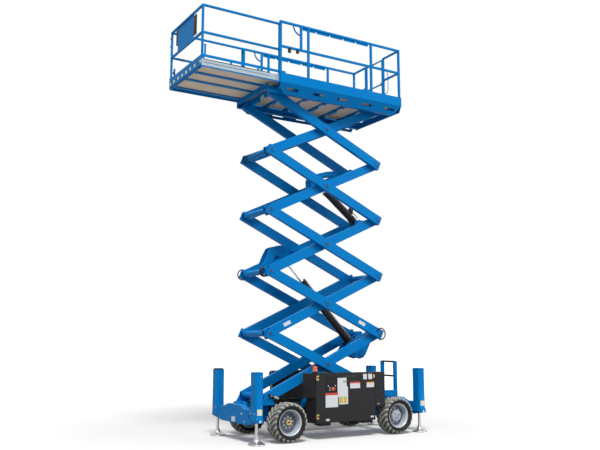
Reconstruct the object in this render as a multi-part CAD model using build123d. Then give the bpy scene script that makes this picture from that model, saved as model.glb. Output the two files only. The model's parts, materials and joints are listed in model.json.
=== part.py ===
from build123d import *
import math
import os

# Rough-terrain scissor lift, millimetres. +X forward (steered wheels, roll-out deck), +Y left, +Z up.
# Places are measured from the wheelbase centre on the ground; files are written about the box's bottom centre.
os.makedirs("parts", exist_ok=True)

# ---- driving dimensions -------------------------------------------------------------------------------------
wheelbase = 2290.0
width_over_tyres = 1750.0
tyre_radius = 330.0            # out to the lugs' tips
tyre_width = 305.0
lug_height = 16.0
lugs_per_side = 13
lug_width = 38.0
lug_turn = 26.0                # from straight across, degrees
lug_gap = 3.0
lug_shoulder = 46.0            # how far a lug runs down the side
tyre_sides = 26                # flats round the carcass, one to a lug
bead_radius = 196.0            # the tyre's bore and the rim's barrel
rim_lip = 22.0
rim_wall = 9.0
disc_depth = 150.0             # from the tyre's outer side in to the wheel disc
hub_radius = 82.0
spindle_radius = 38.0
running = 0.05                 # radial clearance of every pin and shaft
seat_gap = 0.3                 # clearance of pieces that sit in one another
side_gap = 6.0                 # clearance between neighbours that move past each other

kingpin_y = 500.0
kingpin_radius = 22.0
axle_height = 100.0
axle_depth = 110.0
axle_z = tyre_radius

rail_y = 300.0                 # centre of a chassis rail
rail_width = 90.0
rail_bottom = 400.0
rail_top = 600.0
rail_wall = 9.0
frame_front = 1610.0
frame_rear = -1600.0

arm_length = 2590.0            # between end pins
rest_angle = 24.67             # arms above the horizontal
low_angle = 4.0
high_angle = 57.0
stages = 5
front_pin_x = 1367.0
bottom_pin_z = 722.5
stage_height = arm_length * math.sin(math.radians(rest_angle))
top_pin_z = bottom_pin_z + stages * stage_height
arm_depth = 165.0
arm_width = 76.0
arm_wall = 8.0
arm_overhang = 58.0            # past the end pins
inner_arm_y = 410.0            # centre of an inner arm
outer_arm_y = 498.0
pin_radius = 25.0
boss_radius = 46.0
boss_rise = 2.0                # of a boss over the arm's side
cross_tube_radius = 54.0
cross_tube_wall = 7.0
roller_radius = 38.0           # on the sliding ends of the lowest and highest arms
roller_y = 546.0               # their inner face
roller_width = 46.0
channel_wall = 9.0
channel_clear = 0.6            # above and below a roller
channel_web_y = 600.0
channel_end = 25.0             # behind a roller at the low limit

barrel_radius = 68.0
rod_radius = 37.0
eye_radius = 54.0
lug_plate_y = 82.0             # inner face of the plates that hold the cylinders
lug_plate = 22.0
cylinder_pin_radius = 28.0
# cylinder ends as (distance from the arm's lower pin, height above its centre line)
lower_base = (arm_length - 273.0, -290.0)  # on the first inner arms
lower_eye = (573.0, 228.0)     # on the third inner arms
upper_base = (arm_length - 147.0, 56.0)    # on the third inner arms
upper_eye = (arm_length / 2 + 136, 200.0)    # on the fourth inner arms
# rod showing between barrel and eye, and rod inside the barrel, as stored
lower_rod = (781.0, 840.0)
upper_rod = (358.0, 600.0)

jack_x = (1730.0, -1715.0)
jack_y = 740.0
jack_tube_x = 150.0
jack_tube_y = 205.0
jack_tube_top = 1156.0
jack_tube_bottom = 375.0
jack_tube_corner = 26.0        # chamfer of the tube's corners
jack_wall = 10.0
jack_guide = 60.0              # thick foot of the tube, which the leg runs in
jack_leg_radius = 25.0
pad_radius = 142.0
pad_rise = 118.0               # to the top of the pad's neck
jack_travel = 200.0            # each way
beam_thick = 110.0
tie_down_place = (560.0, 440.0)   # (y, z) of the tie-down holes through the beams
tie_down_radius = 22.0
# half outline of a levelling beam, (y, z) from the middle out
beam_outline = ((0.0, 296.0), (450.0, 296.0), (868.0, 358.0), (868.0, 402.0), (842.0, 446.0), (842.0, 470.0),
                (640.0, 545.0), (380.0, 545.0), (230.0, 602.0), (0.0, 602.0))

module_front = 622.0
module_rear = tyre_radius - wheelbase / 2 - 38
module_bottom = 280.0
module_top = 1118.0
module_face_y = 820.0
module_low_y = 385.0           # inner face under the scissor channel
module_high_y = 622.0          # inner face beside it
module_nose_y = 548.0          # inner face ahead of the channel
module_nose_x = 30.0
module_step_z = 530.0
module_shelf_z = 705.0         # above this the nose reaches out over the tyre
module_low_nose = 655.0        # how far forward the slanted front comes at its inner edge
module_high_nose = 725.0
module_vent_rear = -640.0      # behind this the module clears the rear tyre
module_vent_z = 520.0
module_wall = 4.0
door_thick = 28.0
door_margin = 50.0             # round the opening that the door covers
hinge_x = 636.0
hinge_y = 806.0
hinge_radius = 9.0
hinge_z = (395.0, 1045.0)
hinge_leaf = 30.0              # height of one hinge knuckle
louvre_z = (722.0, 797.0, 872.0, 947.0, 1022.0)
louvre_long = 70.0

ladder_x = -1500.0
ladder_y = (-80.0, 315.0)
ladder_top = 1290.0
ladder_tube = 60.0
rung_z = (690.0, 1005.0, 1275.0)

deck_front = 1336.0
deck_rear = -1400.0
platform_half = 800.0
panel_top = top_pin_z + 272.3
panel_bottom = top_pin_z + 108.3
panel_thick = 4.0
ledge = 14.0                   # under the side panel and out to it
skirt_bottom = top_pin_z - 86.7
skirt_y = 712.0                # its lower edge; the upper one meets the side panel
skirt_slots = 5
slot_long = 240.0
slot_tall = 46.0
skirt_thick = 10.0
floor_half = 705.0
floor_bottom = top_pin_z + 122.3
main_floor = 12.0
longeron_front = 1500.0
eye_room = 120.0               # half width left free for the upper cylinder's eye
platform_ribs = (1275.0, 860.0, 420.0, -20.0, -460.0, -900.0, -1340.0)
rail_tube = 38.0               # guardrail tube, outside
main_rail_y = 755.0
mid_rail_z = top_pin_z + 802.3
top_rail_z = top_pin_z + 1264.3            # top of the top rail
main_post_x = (1316.0, 729.0, -700.0, -1380.0)
handle_x = 885.0               # short post between the two rails, with a curved handle tube ahead of it
handle_reach = 160.0
handle_tube = 14.0             # radius of the handle tubes
rack_x = (850.0, -630.0)       # notched lock rack under each top rail
rack_depth = 50.0
rack_notch_x = (560.0, 255.0, -48.0, -340.0)
gate_y = (-310.0, 250.0)
gate_tube = 16.0               # radius of its tubes
gate_bar_z = (top_rail_z - 37, mid_rail_z - 79, mid_rail_z - 430)
gate_hinge_z = (top_rail_z - 192, mid_rail_z - 310)

ext_front = 2837.0
ext_rear = 1190.0              # tail of the roll-out deck inside the main deck, when rolled out
ext_side_y = 722.0
ext_side_thick = 6.0
ext_side_bottom = top_pin_z + 113.8
ext_side_top = top_pin_z + 255.3
toe_side = (ext_side_top + 31, ext_side_top + 82)    # bottom and top of the toe board along the sides
toe_front = (ext_side_top - 111, ext_side_top + 67)   # and across the front
ext_runner_y = (315.0, -90.0, -585.0)
front_bar = 18.0               # radius of the round bar across the front
ext_rail_y = 700.0
ext_top_rail_z = top_pin_z + 1238.3
ext_mid_rail_z = top_pin_z + 752.3
ext_floor_top = top_pin_z + 172.3
ext_floor = 14.0
ext_frame_rise = 0.3           # of its runners over the main floor
toe_lip = 2.0                  # of the toe board's top edge over its face
ext_inner = ext_front - toe_lip - ext_side_thick - 2 * seat_gap   # where the deck and rails end behind the toe board
ext_post_x = (ext_inner - rail_tube / 2, 1310.0)


# ---- small helpers ------------------------------------------------------------------------------------------
def block(x0, x1, y0, y1, z0, z1):
    return Pos((x0 + x1) / 2, (y0 + y1) / 2, (z0 + z1) / 2) * Box(abs(x1 - x0), abs(y1 - y0), abs(z1 - z0))


def rod_x(x0, x1, y, z, radius):
    return Pos((x0 + x1) / 2, y, z) * Rot(0, 90, 0) * Cylinder(radius, abs(x1 - x0))


def rod_y(x, z, radius, y0, y1):
    return Pos(x, (y0 + y1) / 2, z) * Rot(90, 0, 0) * Cylinder(radius, abs(y1 - y0))


def rod_z(x, y, radius, z0, z1):
    return Pos(x, y, (z0 + z1) / 2) * Cylinder(radius, abs(z1 - z0))


def plate(points, y0, y1):
    # an outline in X and Z, thick from y0 to y1
    return extrude(Plane.XZ.offset(-max(y0, y1)) * make_face(Polyline(*points, close=True)), amount=abs(y1 - y0))


def plate_x(points, x0, x1):
    # an outline in Y and Z, thick from x0 to x1
    return extrude(Plane.YZ.offset(x0) * make_face(Polyline(*points, close=True)), amount=x1 - x0)


def plate_z(points, z0, z1):
    return Pos(0, 0, z0) * extrude(make_face(Polyline(*points, close=True)), amount=z1 - z0)


def other_side(shape):
    return mirror(shape, about=Plane.XZ)


def both_sides(shape):
    return shape + other_side(shape)


def hollow_bar(x0, x1, y0, y1, z0, z1, wall, along="x"):
    inside = {"x": (0, wall, wall), "y": (wall, 0, wall), "z": (wall, wall, 0)}[along]
    return block(x0, x1, y0, y1, z0, z1) - block(
        x0 + inside[0], x1 - inside[0], y0 + inside[1], y1 - inside[1], z0 + inside[2], z1 - inside[2])


def spun(points, y_centre=0.0):
    # a closed profile of (radius, y), turned about the Y axis
    face = make_face(Polyline(*[(r, y, 0) for r, y in points], close=True))
    return Pos(0, y_centre, 0) * revolve(face, Axis.Y)


def ringed(rings):
    # flat-sided frusta through rings of (y, radius to the flats), about the Y axis
    corner = 1 / math.cos(math.pi / tyre_sides)
    return loft([Plane.XZ.offset(-y) * RegularPolygon(radius * corner, tyre_sides) for y, radius in rings], ruled=True)


# ---- worked-out places --------------------------------------------------------------------------------------
axle_x = (wheelbase / 2, -wheelbase / 2)
wheel_y = (width_over_tyres - tyre_width) / 2
tilt = math.radians(rest_angle)
rear_pin_x = front_pin_x - arm_length * math.cos(tilt)
stowed_rear_x = front_pin_x - arm_length * math.cos(math.radians(low_angle))
raised_rear_x = front_pin_x - arm_length * math.cos(math.radians(high_angle))
pad_bottom = 0.0
floor_top = floor_bottom + main_floor
origin_x = (ext_front + jack_x[1] - pad_radius) / 2


def arm_plane(kind, stage):
    # inner arms run from the lower front pin to the upper rear pin, outer arms from the lower rear to the upper front
    z = bottom_pin_z + (stage - 1) * stage_height
    if kind == "inner":
        return Plane((front_pin_x, 0, z), x_dir=(-math.cos(tilt), 0, math.sin(tilt)),
                     z_dir=(math.sin(tilt), 0, math.cos(tilt)))
    return Plane((rear_pin_x, 0, z), x_dir=(math.cos(tilt), 0, math.sin(tilt)),
                 z_dir=(-math.sin(tilt), 0, math.cos(tilt)))


def on_arm(kind, stage, place):
    point = arm_plane(kind, stage).from_local_coords((place[0], 0, place[1]))
    return point.X, point.Z


def save(name, shape):
    export_step(Pos(-origin_x, 0, 0) * shape, f"parts/{name}.step")


# ---- wheels -------------------------------------------------------------------------------------------------
def tyre():
    half = tyre_width / 2
    carcass_radius = tyre_radius - lug_height
    bead = bead_radius + rim_lip
    carcass = ringed([(-half * 0.97, carcass_radius - 58), (-half * 0.80, carcass_radius - 4),
                      (half * 0.80, carcass_radius - 4), (half * 0.97, carcass_radius - 58)])
    carcass = carcass - ringed([(-half, bead_radius + seat_gap), (half, bead_radius + seat_gap)])
    for side in (-1, 1):
        carcass = carcass - ringed([(side * half * 0.69, bead + 2), (side * (half * 0.97 + 1), bead + 14)])
    # chevron lugs: half on each side of the tread, the two sides half a pitch apart
    turn = math.radians(lug_turn)
    centre = half / 2 + lug_gap
    half_length = (half - centre - lug_width / 2 * math.sin(turn)) / math.cos(turn)
    corner = lug_width / 2 * math.cos(turn) + half_length * math.sin(turn)
    top = math.sqrt(tyre_radius ** 2 - corner ** 2)
    outline = [(-half_length, carcass_radius - lug_shoulder), (-half_length, top - lug_height * 1.6),
               (-half_length + lug_height, top), (half_length, top), (half_length, carcass_radius - lug_height)]
    lug = plate_x([(y, z) for y, z in outline], -lug_width / 2, lug_width / 2)
    lug = Pos(0, -centre, 0) * Rot(0, 0, lug_turn) * lug
    pitch = 360 / lugs_per_side
    lugs = []
    for i in range(lugs_per_side):
        lugs.append(Rot(0, i * pitch, 0) * lug)
        lugs.append(Rot(0, (i + 0.5) * pitch, 0) * other_side(lug))
    return carcass + lugs


def rim(steered):
    half = tyre_width / 2
    disc_y = half - disc_depth
    barrel = spun([
        (bead_radius, -half * 0.70), (bead_radius + rim_lip, -half * 0.72), (bead_radius + rim_lip, -half * 0.80),
        (bead_radius - rim_wall, -half * 0.74), (bead_radius - rim_wall, disc_y), (hub_radius, disc_y),
        (hub_radius, disc_y + rim_wall + 3), (bead_radius - rim_wall, disc_y + rim_wall + 3),
        (bead_radius - rim_wall, half * 0.74), (bead_radius + rim_lip, half * 0.80),
        (bead_radius + rim_lip, half * 0.72), (bead_radius, half * 0.70)])
    cap = 46.0 if steered else 78.0
    hub = spun([(spindle_radius + running, disc_y - 40), (hub_radius, disc_y - 40), (hub_radius, disc_y + 44),
                (hub_radius - 26, disc_y + 44 + cap * 0.4), (0, disc_y + 44 + cap * 0.4), (0, disc_y + 30),
                (spindle_radius + running, disc_y + 30)])
    return barrel + hub


def place_wheel(shape, front, left):
    x = axle_x[0 if front else 1]
    if left:
        return Pos(x, wheel_y, axle_z) * shape
    return other_side(Pos(x, wheel_y, axle_z) * shape)


# ---- axles --------------------------------------------------------------------------------------------------
ear = 26.0
fork_half = 62.0               # from the axle's centre to a fork ear
kingpin_boss = 40.0


def front_axle():
    x = axle_x[0]
    beam_end = kingpin_y - kingpin_boss - side_gap
    beam = hollow_bar(x - axle_depth / 2, x + axle_depth / 2, -beam_end, beam_end,
                      axle_z - axle_height / 2, axle_z + axle_height / 2, rail_wall, along="y")
    fork = None
    for sign in (1, -1):
        low = axle_z + sign * fork_half
        high = low + sign * ear
        arm = block(x - axle_depth / 2, x + axle_depth / 2, beam_end - 60, kingpin_y, low, high)
        arm = arm + rod_z(x, kingpin_y, axle_depth / 2, low, high)
        fork = arm if fork is None else fork + arm
    fork = fork + block(x - axle_depth / 2, x + axle_depth / 2, beam_end - 60, beam_end - 20,
                        axle_z - fork_half, axle_z + fork_half)
    fork = fork + rod_z(x, kingpin_y, kingpin_radius, axle_z - fork_half - ear, axle_z + fork_half + ear + 8)
    hanger = block(x - 45, x + 45, rail_y - 60, rail_y - 20, axle_z + axle_height / 2, rail_bottom)
    return beam + both_sides(fork + hanger)


def knuckle():
    x = axle_x[0]
    body = rod_z(x, kingpin_y, kingpin_boss, axle_z - fork_half + 1, axle_z + fork_half - 1)
    body = body - rod_z(x, kingpin_y, kingpin_radius + running, axle_z - fork_half, axle_z + fork_half)
    disc_y = wheel_y + tyre_width / 2 - disc_depth
    spindle = rod_y(x, axle_z, spindle_radius, kingpin_y + kingpin_radius + 8, disc_y + 29)
    flange = rod_y(x, axle_z, 56, kingpin_y + kingpin_radius + 8, disc_y - 41)
    steering_arm = block(x - 150, x - 20, kingpin_y - 6, kingpin_y + 22, axle_z - 30, axle_z - 8)
    steering_arm = steering_arm - rod_z(x, kingpin_y, kingpin_radius + running, axle_z - fork_half, axle_z + fork_half)
    return body + spindle + flange + steering_arm


def rear_axle():
    x = axle_x[1]
    disc_y = wheel_y + tyre_width / 2 - disc_depth
    beam = hollow_bar(x - axle_depth / 2, x + axle_depth / 2, -470, 470,
                      axle_z - axle_height / 2, axle_z + axle_height / 2, rail_wall, along="y")
    end = rod_y(x, axle_z, 62, 455, disc_y - 41) + rod_y(x, axle_z, spindle_radius, disc_y - 42, disc_y + 29)
    hanger = block(x - 45, x + 45, rail_y - 60, rail_y - 20, axle_z + axle_height / 2, rail_bottom)
    return beam + both_sides(end + hanger)


# ---- chassis ------------------------------------------------------------------------------------------------
channel_half = roller_radius + channel_clear
channel_out = channel_web_y + channel_wall
channel_foot = bottom_pin_z - channel_half - channel_wall
channel_rear = stowed_rear_x - roller_radius - channel_end
channel_front = raised_rear_x + roller_radius + channel_end


def channel(x0, x1, z):
    # a slide channel open towards the middle, for the rollers of the sliding arm ends
    solid = block(x0, x1, roller_y, channel_out, z - channel_half - channel_wall, z + channel_half + channel_wall)
    return solid - block(x0, x1, roller_y, channel_web_y, z - channel_half, z + channel_half)


def chassis_frame():
    rail = hollow_bar(frame_rear, frame_front, rail_y - rail_width / 2, rail_y + rail_width / 2,
                      rail_bottom, rail_top, rail_wall)
    sides = rail + channel(channel_rear, channel_front, bottom_pin_z)
    # brackets that pass under the arms and stand up outside them, clear of the rear tyre
    for x in (axle_x[1] + tyre_radius + 55, -330.0, channel_front - 60):
        sides = sides + block(x - 40, x + 40, rail_y + rail_width / 2 - 1, channel_out, rail_top - 60, rail_top - 20)
        sides = sides + block(x - 40, x + 40, roller_y, channel_out, rail_top - 60, channel_foot + 1)
    sides = sides + block(channel_rear, channel_front, channel_web_y, channel_out, channel_foot - 8, channel_foot + 1)
    # ears of the fixed pivot, outside the first inner arms and above the turned tyre
    ear_y = inner_arm_y + arm_width / 2 + side_gap
    foot = rail_top - 1
    pivot = plate([(front_pin_x - 130, foot), (front_pin_x + 130, foot), (front_pin_x + 60, bottom_pin_z + 20),
                   (front_pin_x + 30, bottom_pin_z + 55), (front_pin_x - 30, bottom_pin_z + 55),
                   (front_pin_x - 60, bottom_pin_z + 20)], ear_y, ear_y + 30)
    pivot = pivot + block(front_pin_x - 130, front_pin_x + 130, rail_y, ear_y + 1, foot, foot + 12)
    pivot = pivot + rod_y(front_pin_x, bottom_pin_z, pin_radius, inner_arm_y - arm_width / 2 + 2, ear_y + 40)
    frame = both_sides(sides + pivot)
    for x in (frame_front - 60, 700.0, -300.0, frame_rear + 60):
        frame = frame + block(x - 40, x + 40, -rail_y, rail_y, rail_bottom + 20, rail_top - 80)
    return frame


def tube_outline(x, inset):
    half_x, half_y, corner = jack_tube_x / 2 - inset, jack_tube_y / 2 - inset, jack_tube_corner - inset * 0.6
    points = []
    for sx, sy in ((1, 1), (-1, 1), (-1, -1), (1, -1)):
        pair = [(x + sx * half_x, jack_y + sy * (half_y - corner)), (x + sx * (half_x - corner), jack_y + sy * half_y)]
        points += pair if sx * sy > 0 else pair[::-1]
    return points


def outrigger(front):
    x = jack_x[0 if front else 1]
    side = 1 if front else -1
    far_half = [(-y, z) for y, z in reversed(beam_outline[1:-1])]
    beam = plate_x(list(beam_outline) + far_half, x - beam_thick / 2, x + beam_thick / 2)
    tube = plate_z(tube_outline(x, 0), jack_tube_bottom, jack_tube_top)
    cap = plate_z(tube_outline(x, -3), jack_tube_top - 1, jack_tube_top + 7)
    room = plate_z(tube_outline(x, jack_wall), jack_tube_bottom + jack_guide, jack_tube_top - jack_wall)
    bore = rod_z(x, jack_y, jack_leg_radius + running, 0, jack_tube_bottom + jack_guide + 1)
    tie_end = frame_front if front else frame_rear
    tie = block(x - side * beam_thick / 2, tie_end, rail_y - rail_width / 2, rail_y + rail_width / 2,
                rail_bottom + 5, 560)
    # ears of the middle pivot, on top of the beam
    near, far = x - side * (beam_thick / 2 - 1), x - side * (beam_thick / 2 + 50)
    ear = plate_x([(60, 420), (160, 420), (175, 560), (150, 630), (95, 630), (60, 570)], min(near, far), max(near, far))
    ear = ear - rod_x(min(near, far), max(near, far), 120, 590, 14)
    shape = beam + both_sides(tube + cap + ear)
    shape = shape - both_sides(room) - both_sides(bore)
    tie_down = rod_x(x - beam_thick / 2 - 1, x + beam_thick / 2 + 1, tie_down_place[0], tie_down_place[1], tie_down_radius)
    return shape - both_sides(tie_down) + both_sides(tie)


def jack_leg(x):
    top = jack_tube_bottom + jack_guide + jack_travel + 130
    leg = rod_z(x, jack_y, jack_leg_radius, pad_rise - 20, top)
    pad = revolve(make_face(Polyline((0, 0, 0), (pad_radius - 6, 0, 0), (pad_radius, 0, 8), (pad_radius - 4, 0, 20),
                                     (pad_radius - 42, 0, 38), (56, 0, 62), (40, 0, 92), (36, 0, pad_rise),
                                     (0, 0, pad_rise), close=True)), Axis.Z)
    return leg + Pos(x, jack_y, pad_bottom) * pad


door_y = module_face_y - door_thick       # side of the covers behind the doors


def cover(outline, z0, z1):
    return plate_z(outline, z0, z1)


def hollow_in(outline, z0, z1):
    inner = offset(make_face(Polyline(*outline, close=True)), amount=-module_wall, kind=Kind.INTERSECTION)
    return Pos(0, 0, z0) * extrude(inner, amount=z1 - z0)


def module():
    rear, front, wall = module_vent_rear, module_front, module_wall
    low = [(rear, module_low_y), (front, module_low_y), (front, module_nose_y), (module_low_nose, module_nose_y),
           (front, door_y), (rear, door_y)]
    middle = [(rear, module_high_y), (module_nose_x, module_high_y), (module_nose_x, module_nose_y),
              (module_low_nose, module_nose_y), (front, door_y), (rear, door_y)]
    high = [(module_high_nose, y) if x == module_low_nose else (x, y) for x, y in middle]
    vent = [(module_rear, module_high_y), (rear + 1, module_high_y), (rear + 1, module_face_y),
            (module_rear, module_face_y)]
    body = cover(low, module_bottom, module_step_z) + cover(middle, module_step_z, module_shelf_z)
    body = body + cover(high, module_shelf_z, module_top) + cover(vent, module_vent_z, module_top)
    body = body - hollow_in(low, module_bottom + wall, module_step_z - wall)
    body = body - hollow_in(middle, module_step_z - wall - 1, module_shelf_z + wall)
    body = body - hollow_in(high, module_shelf_z + wall - 1, module_top - wall)
    body = body - hollow_in(vent, module_vent_z + wall, module_top - wall)
    body = body - block(rear + door_margin, front - door_margin, door_y - 2 * wall, door_y + 1,
                        module_bottom + door_margin, module_top - door_margin)
    for z in louvre_z:
        body = body - block(module_rear + 12, module_rear + 12 + louvre_long, module_face_y - 2 * wall, module_face_y + 1, z, z + 18)
    # outer leaves of the hinges, brackets to the chassis rail and feet
    for z in hinge_z:
        for z0 in (z - 1.5 * hinge_leaf - seat_gap, z + hinge_leaf / 2 + seat_gap):
            leaf = rod_z(hinge_x, hinge_y, hinge_radius, z0, z0 + hinge_leaf)
            body = body + leaf + block(front - 6, hinge_x, door_y - 12, door_y, z0, z0 + hinge_leaf)
            body = body + block(hinge_x - 8, hinge_x, door_y - 1, hinge_y - hinge_radius + 3, z0, z0 + hinge_leaf)
        body = body - rod_z(hinge_x, hinge_y, 4 + running, z - 2 * hinge_leaf, z + 2 * hinge_leaf)
    for x in (-500.0, 400.0):
        body = body + block(x - 60, x + 60, rail_y + rail_width / 2 + seat_gap, module_low_y + 1, rail_bottom + 30, rail_top - 80)
        body = body + block(x - 90, x + 120, 600, door_y, module_bottom - 45, module_bottom + 1)
    return body


def module_door():
    panel = block(module_vent_rear + side_gap, module_front, door_y + seat_gap, module_face_y,
                  module_bottom + side_gap, module_top - side_gap)
    reach = hinge_radius + side_gap
    for z in hinge_z:
        panel = panel - block(hinge_x - reach - 1, module_front + 1, door_y, module_face_y + 1,
                              z - 1.5 * hinge_leaf - side_gap, z + 1.5 * hinge_leaf + side_gap)
        panel = panel + block(hinge_x - reach - 2, hinge_x, hinge_y - 3, hinge_y + 5, z - hinge_leaf / 2, z + hinge_leaf / 2)
        panel = panel + rod_z(hinge_x, hinge_y, hinge_radius, z - hinge_leaf / 2, z + hinge_leaf / 2)
        panel = panel + rod_z(hinge_x, hinge_y, 4, z - 1.5 * hinge_leaf - seat_gap, z + 1.5 * hinge_leaf + seat_gap)
    return panel


def engine_block():
    floor = module_bottom + module_wall + seat_gap
    return block(-350, 300, module_low_y + 20, door_y - 20, floor, module_step_z - module_wall - 5)


def ladder():
    # stands on the left chassis rail and on a foot over the rear levelling beam
    half = ladder_tube / 2
    shape = block(ladder_x - half, ladder_x + half, ladder_y[0], ladder_y[1], rail_top + seat_gap, rail_top + 45)
    for y in ladder_y:
        shape = shape + block(ladder_x - half, ladder_x + half, y - half, y + half, rail_top + seat_gap, ladder_top)
    foot_z = beam_outline[-1][1] + seat_gap
    shape = shape + block(jack_x[1], ladder_x, ladder_y[0] + half, 0, foot_z, foot_z + 14)
    for z in rung_z:
        shape = shape + block(ladder_x - 14, ladder_x + 14, ladder_y[0] + half - 1, ladder_y[1] - half + 1, z - 14, z + 14)
    return shape


def beacon():
    # a foot, a lower lens and a smaller upper one
    x, y, z = 568.0, 700.0, module_top + seat_gap
    return Pos(x, y, z) * revolve(make_face(Polyline((0, 0, 0), (48, 0, 0), (48, 0, 16), (30, 0, 20), (30, 0, 30),
                                                     (42, 0, 36), (42, 0, 66), (32, 0, 76), (38, 0, 82), (38, 0, 108),
                                                     (22, 0, 124), (0, 0, 128), close=True)), Axis.Z)


# ---- scissor arms -------------------------------------------------------------------------------------------
def arm_tube(y_centre):
    y0, y1 = y_centre - arm_width / 2, y_centre + arm_width / 2
    return hollow_bar(-arm_overhang, arm_length + arm_overhang, y0, y1, -arm_depth / 2, arm_depth / 2, arm_wall)


def inner_arms(stage):
    near = arm_tube(inner_arm_y)
    y0, y1 = inner_arm_y - arm_width / 2, inner_arm_y + arm_width / 2
    for s in (0, arm_length / 2, arm_length):
        near = near + rod_y(s, 0, boss_radius, y0 - boss_rise, y1 + boss_rise)
        if stage == stages and s == arm_length:
            near = near + rod_y(s, 0, pin_radius, y1 - 1, roller_y + 1)
            near = near + rod_y(s, 0, roller_radius, roller_y, roller_y + roller_width)
        else:
            near = near - rod_y(s, 0, pin_radius + running, y0 - boss_rise, y1 + boss_rise)
    split = stage == 1
    for s in (0, arm_length):
        stop = lug_plate_y + lug_plate if (split and s) else 0
        tube = rod_y(s, 0, cross_tube_radius, stop, y0 + 1) - rod_y(s, 0, cross_tube_radius - cross_tube_wall, stop, y0 + 1)
        near = near + tube
    # plates that hold the cylinders, on stub tubes between plate and arm
    def lug_pair(outline, holes, stubs):
        side = plate(outline, lug_plate_y, lug_plate_y + lug_plate)
        for s, n in holes:
            side = side + rod_y(s, n, cylinder_pin_radius + 18, lug_plate_y, lug_plate_y + lug_plate + 12)
        for s, n in stubs:
            side = side + rod_y(s, n, 34, lug_plate_y, y0)
        return side

    # places are counted from the nearest pin: lower, middle or upper
    mid_pin, upper = arm_length / 2, arm_length
    if stage == 1:
        near = near + lug_pair([(upper - 640, -70), (upper - 470, -250), (upper - 350, -355), (upper - 260, -370),
                                (upper - 190, -345), (upper + 10, -190), (upper + 50, -60), (upper, 40),
                                (upper - 290, 40), (upper - 490, 20)], [lower_base], [(upper - 440, -20)])
        near = near + rod_y(lower_base[0], lower_base[1], cylinder_pin_radius, 0, lug_plate_y)
    if stage == 3:
        horn = lug_pair([(0, -40), (60, 70), (130, 96), (200, 146), (290, 226), (391, 302), (420, 313), (450, 315),
                         (520, 306), (604, 287), (760, 229), (927, 159), (1160, 70), (1160, -10), (1040, -40),
                         (300, -40)], [lower_eye], [(1080, 30)])
        horn = horn - plate([(451, 157), (515, 78), (366, 88)], lug_plate_y - 1, lug_plate_y + lug_plate + 1)
        near = near + horn - plate([(640, 134), (915, 77), (930, 40), (620, 40), (612, 122)],
                                   lug_plate_y - 1, lug_plate_y + lug_plate + 13)
        near = near + lug_pair([(upper - 260, -30), (upper - 230, 70), (upper - 180, 108), (upper - 110, 108),
                                (upper + 10, 30), (upper + 10, -30)], [upper_base], [(upper - 210, 0)])
        near = near + rod_y(upper_base[0], upper_base[1], cylinder_pin_radius, 0, lug_plate_y)
    if stage == 4:
        gusset = lug_pair([(mid_pin - 25, -20), (mid_pin - 35, 80), (mid_pin + 5, 190), (mid_pin + 65, 255),
                           (mid_pin + 145, 270), (mid_pin + 405, 236), (mid_pin + 805, 136),
                           (mid_pin + 1005, 76), (mid_pin + 1005, 0), (mid_pin + 605, 20),
                           (mid_pin + 305, -20)], [upper_eye], [(mid_pin + 45, 20), (mid_pin + 905, 40)])
        near = near + gusset - plate([(mid_pin + 285, 96), (mid_pin + 295, 172), (mid_pin + 555, 104)],
                                     lug_plate_y - 1, lug_plate_y + lug_plate + 1)
    return arm_plane("inner", stage).location * both_sides(near)


def outer_arms(stage):
    near = arm_tube(outer_arm_y)
    y0, y1 = outer_arm_y - arm_width / 2, outer_arm_y + arm_width / 2
    pin_end = inner_arm_y - arm_width / 2 + 2
    for s in (0, arm_length / 2, arm_length):
        near = near + rod_y(s, 0, boss_radius, y0 - boss_rise, y1 + boss_rise)
        if stage == stages and s == arm_length:
            near = near - rod_y(s, 0, pin_radius + running, y0 - boss_rise, y1 + boss_rise)
        elif stage == 1 and s == 0:
            near = near + rod_y(0, 0, pin_radius, y1, roller_y + 1)
            near = near + rod_y(0, 0, roller_radius, roller_y, roller_y + roller_width)
        else:
            near = near + rod_y(s, 0, pin_radius, pin_end, y0 + 1)
    return arm_plane("outer", stage).location * both_sides(near)


# ---- cylinders ----------------------------------------------------------------------------------------------
def cylinder_line(base, base_stage, eye, eye_stage):
    (x0, z0), (x1, z1) = on_arm("inner", base_stage, base), on_arm("inner", eye_stage, eye)
    length = math.hypot(x1 - x0, z1 - z0)
    along = ((x1 - x0) / length, 0, (z1 - z0) / length)
    return Plane((x0, 0, z0), x_dir=along, z_dir=(-along[2], 0, along[0])), length


def barrel(base, base_stage, eye, eye_stage, rod):
    plane, length = cylinder_line(base, base_stage, eye, eye_stage)
    body_length = length - rod[0]
    half = lug_plate_y - side_gap
    shape = rod_x(eye_radius * 0.6, body_length, 0, 0, barrel_radius)
    shape = shape + rod_y(0, 0, eye_radius, -half, half)
    shape = shape - rod_x(eye_radius + 20, body_length, 0, 0, rod_radius + running)
    shape = shape - rod_y(0, 0, cylinder_pin_radius + running, -half, half)
    return plane.location * shape


def ram(base, base_stage, eye, eye_stage, rod):
    plane, length = cylinder_line(base, base_stage, eye, eye_stage)
    tail = length - sum(rod)
    half = lug_plate_y - side_gap
    shape = rod_x(tail, length, 0, 0, rod_radius) + rod_y(length, 0, eye_radius, -half, half)
    return plane.location * shape


# ---- platform -----------------------------------------------------------------------------------------------
def cross_member(x, width, deep, middle_half, arm_z, top):
    # deep between the arms and outside them, thin where the arm ends and the upper cylinder's eye come under it
    half = width / 2
    bar = block(x - half, x + half, -floor_half, floor_half, arm_z, top)
    bar = bar + both_sides(block(x - half, x + half, eye_room, middle_half, deep, top))
    return bar + both_sides(block(x - half, x + half, roller_y, floor_half, deep, top))


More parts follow.
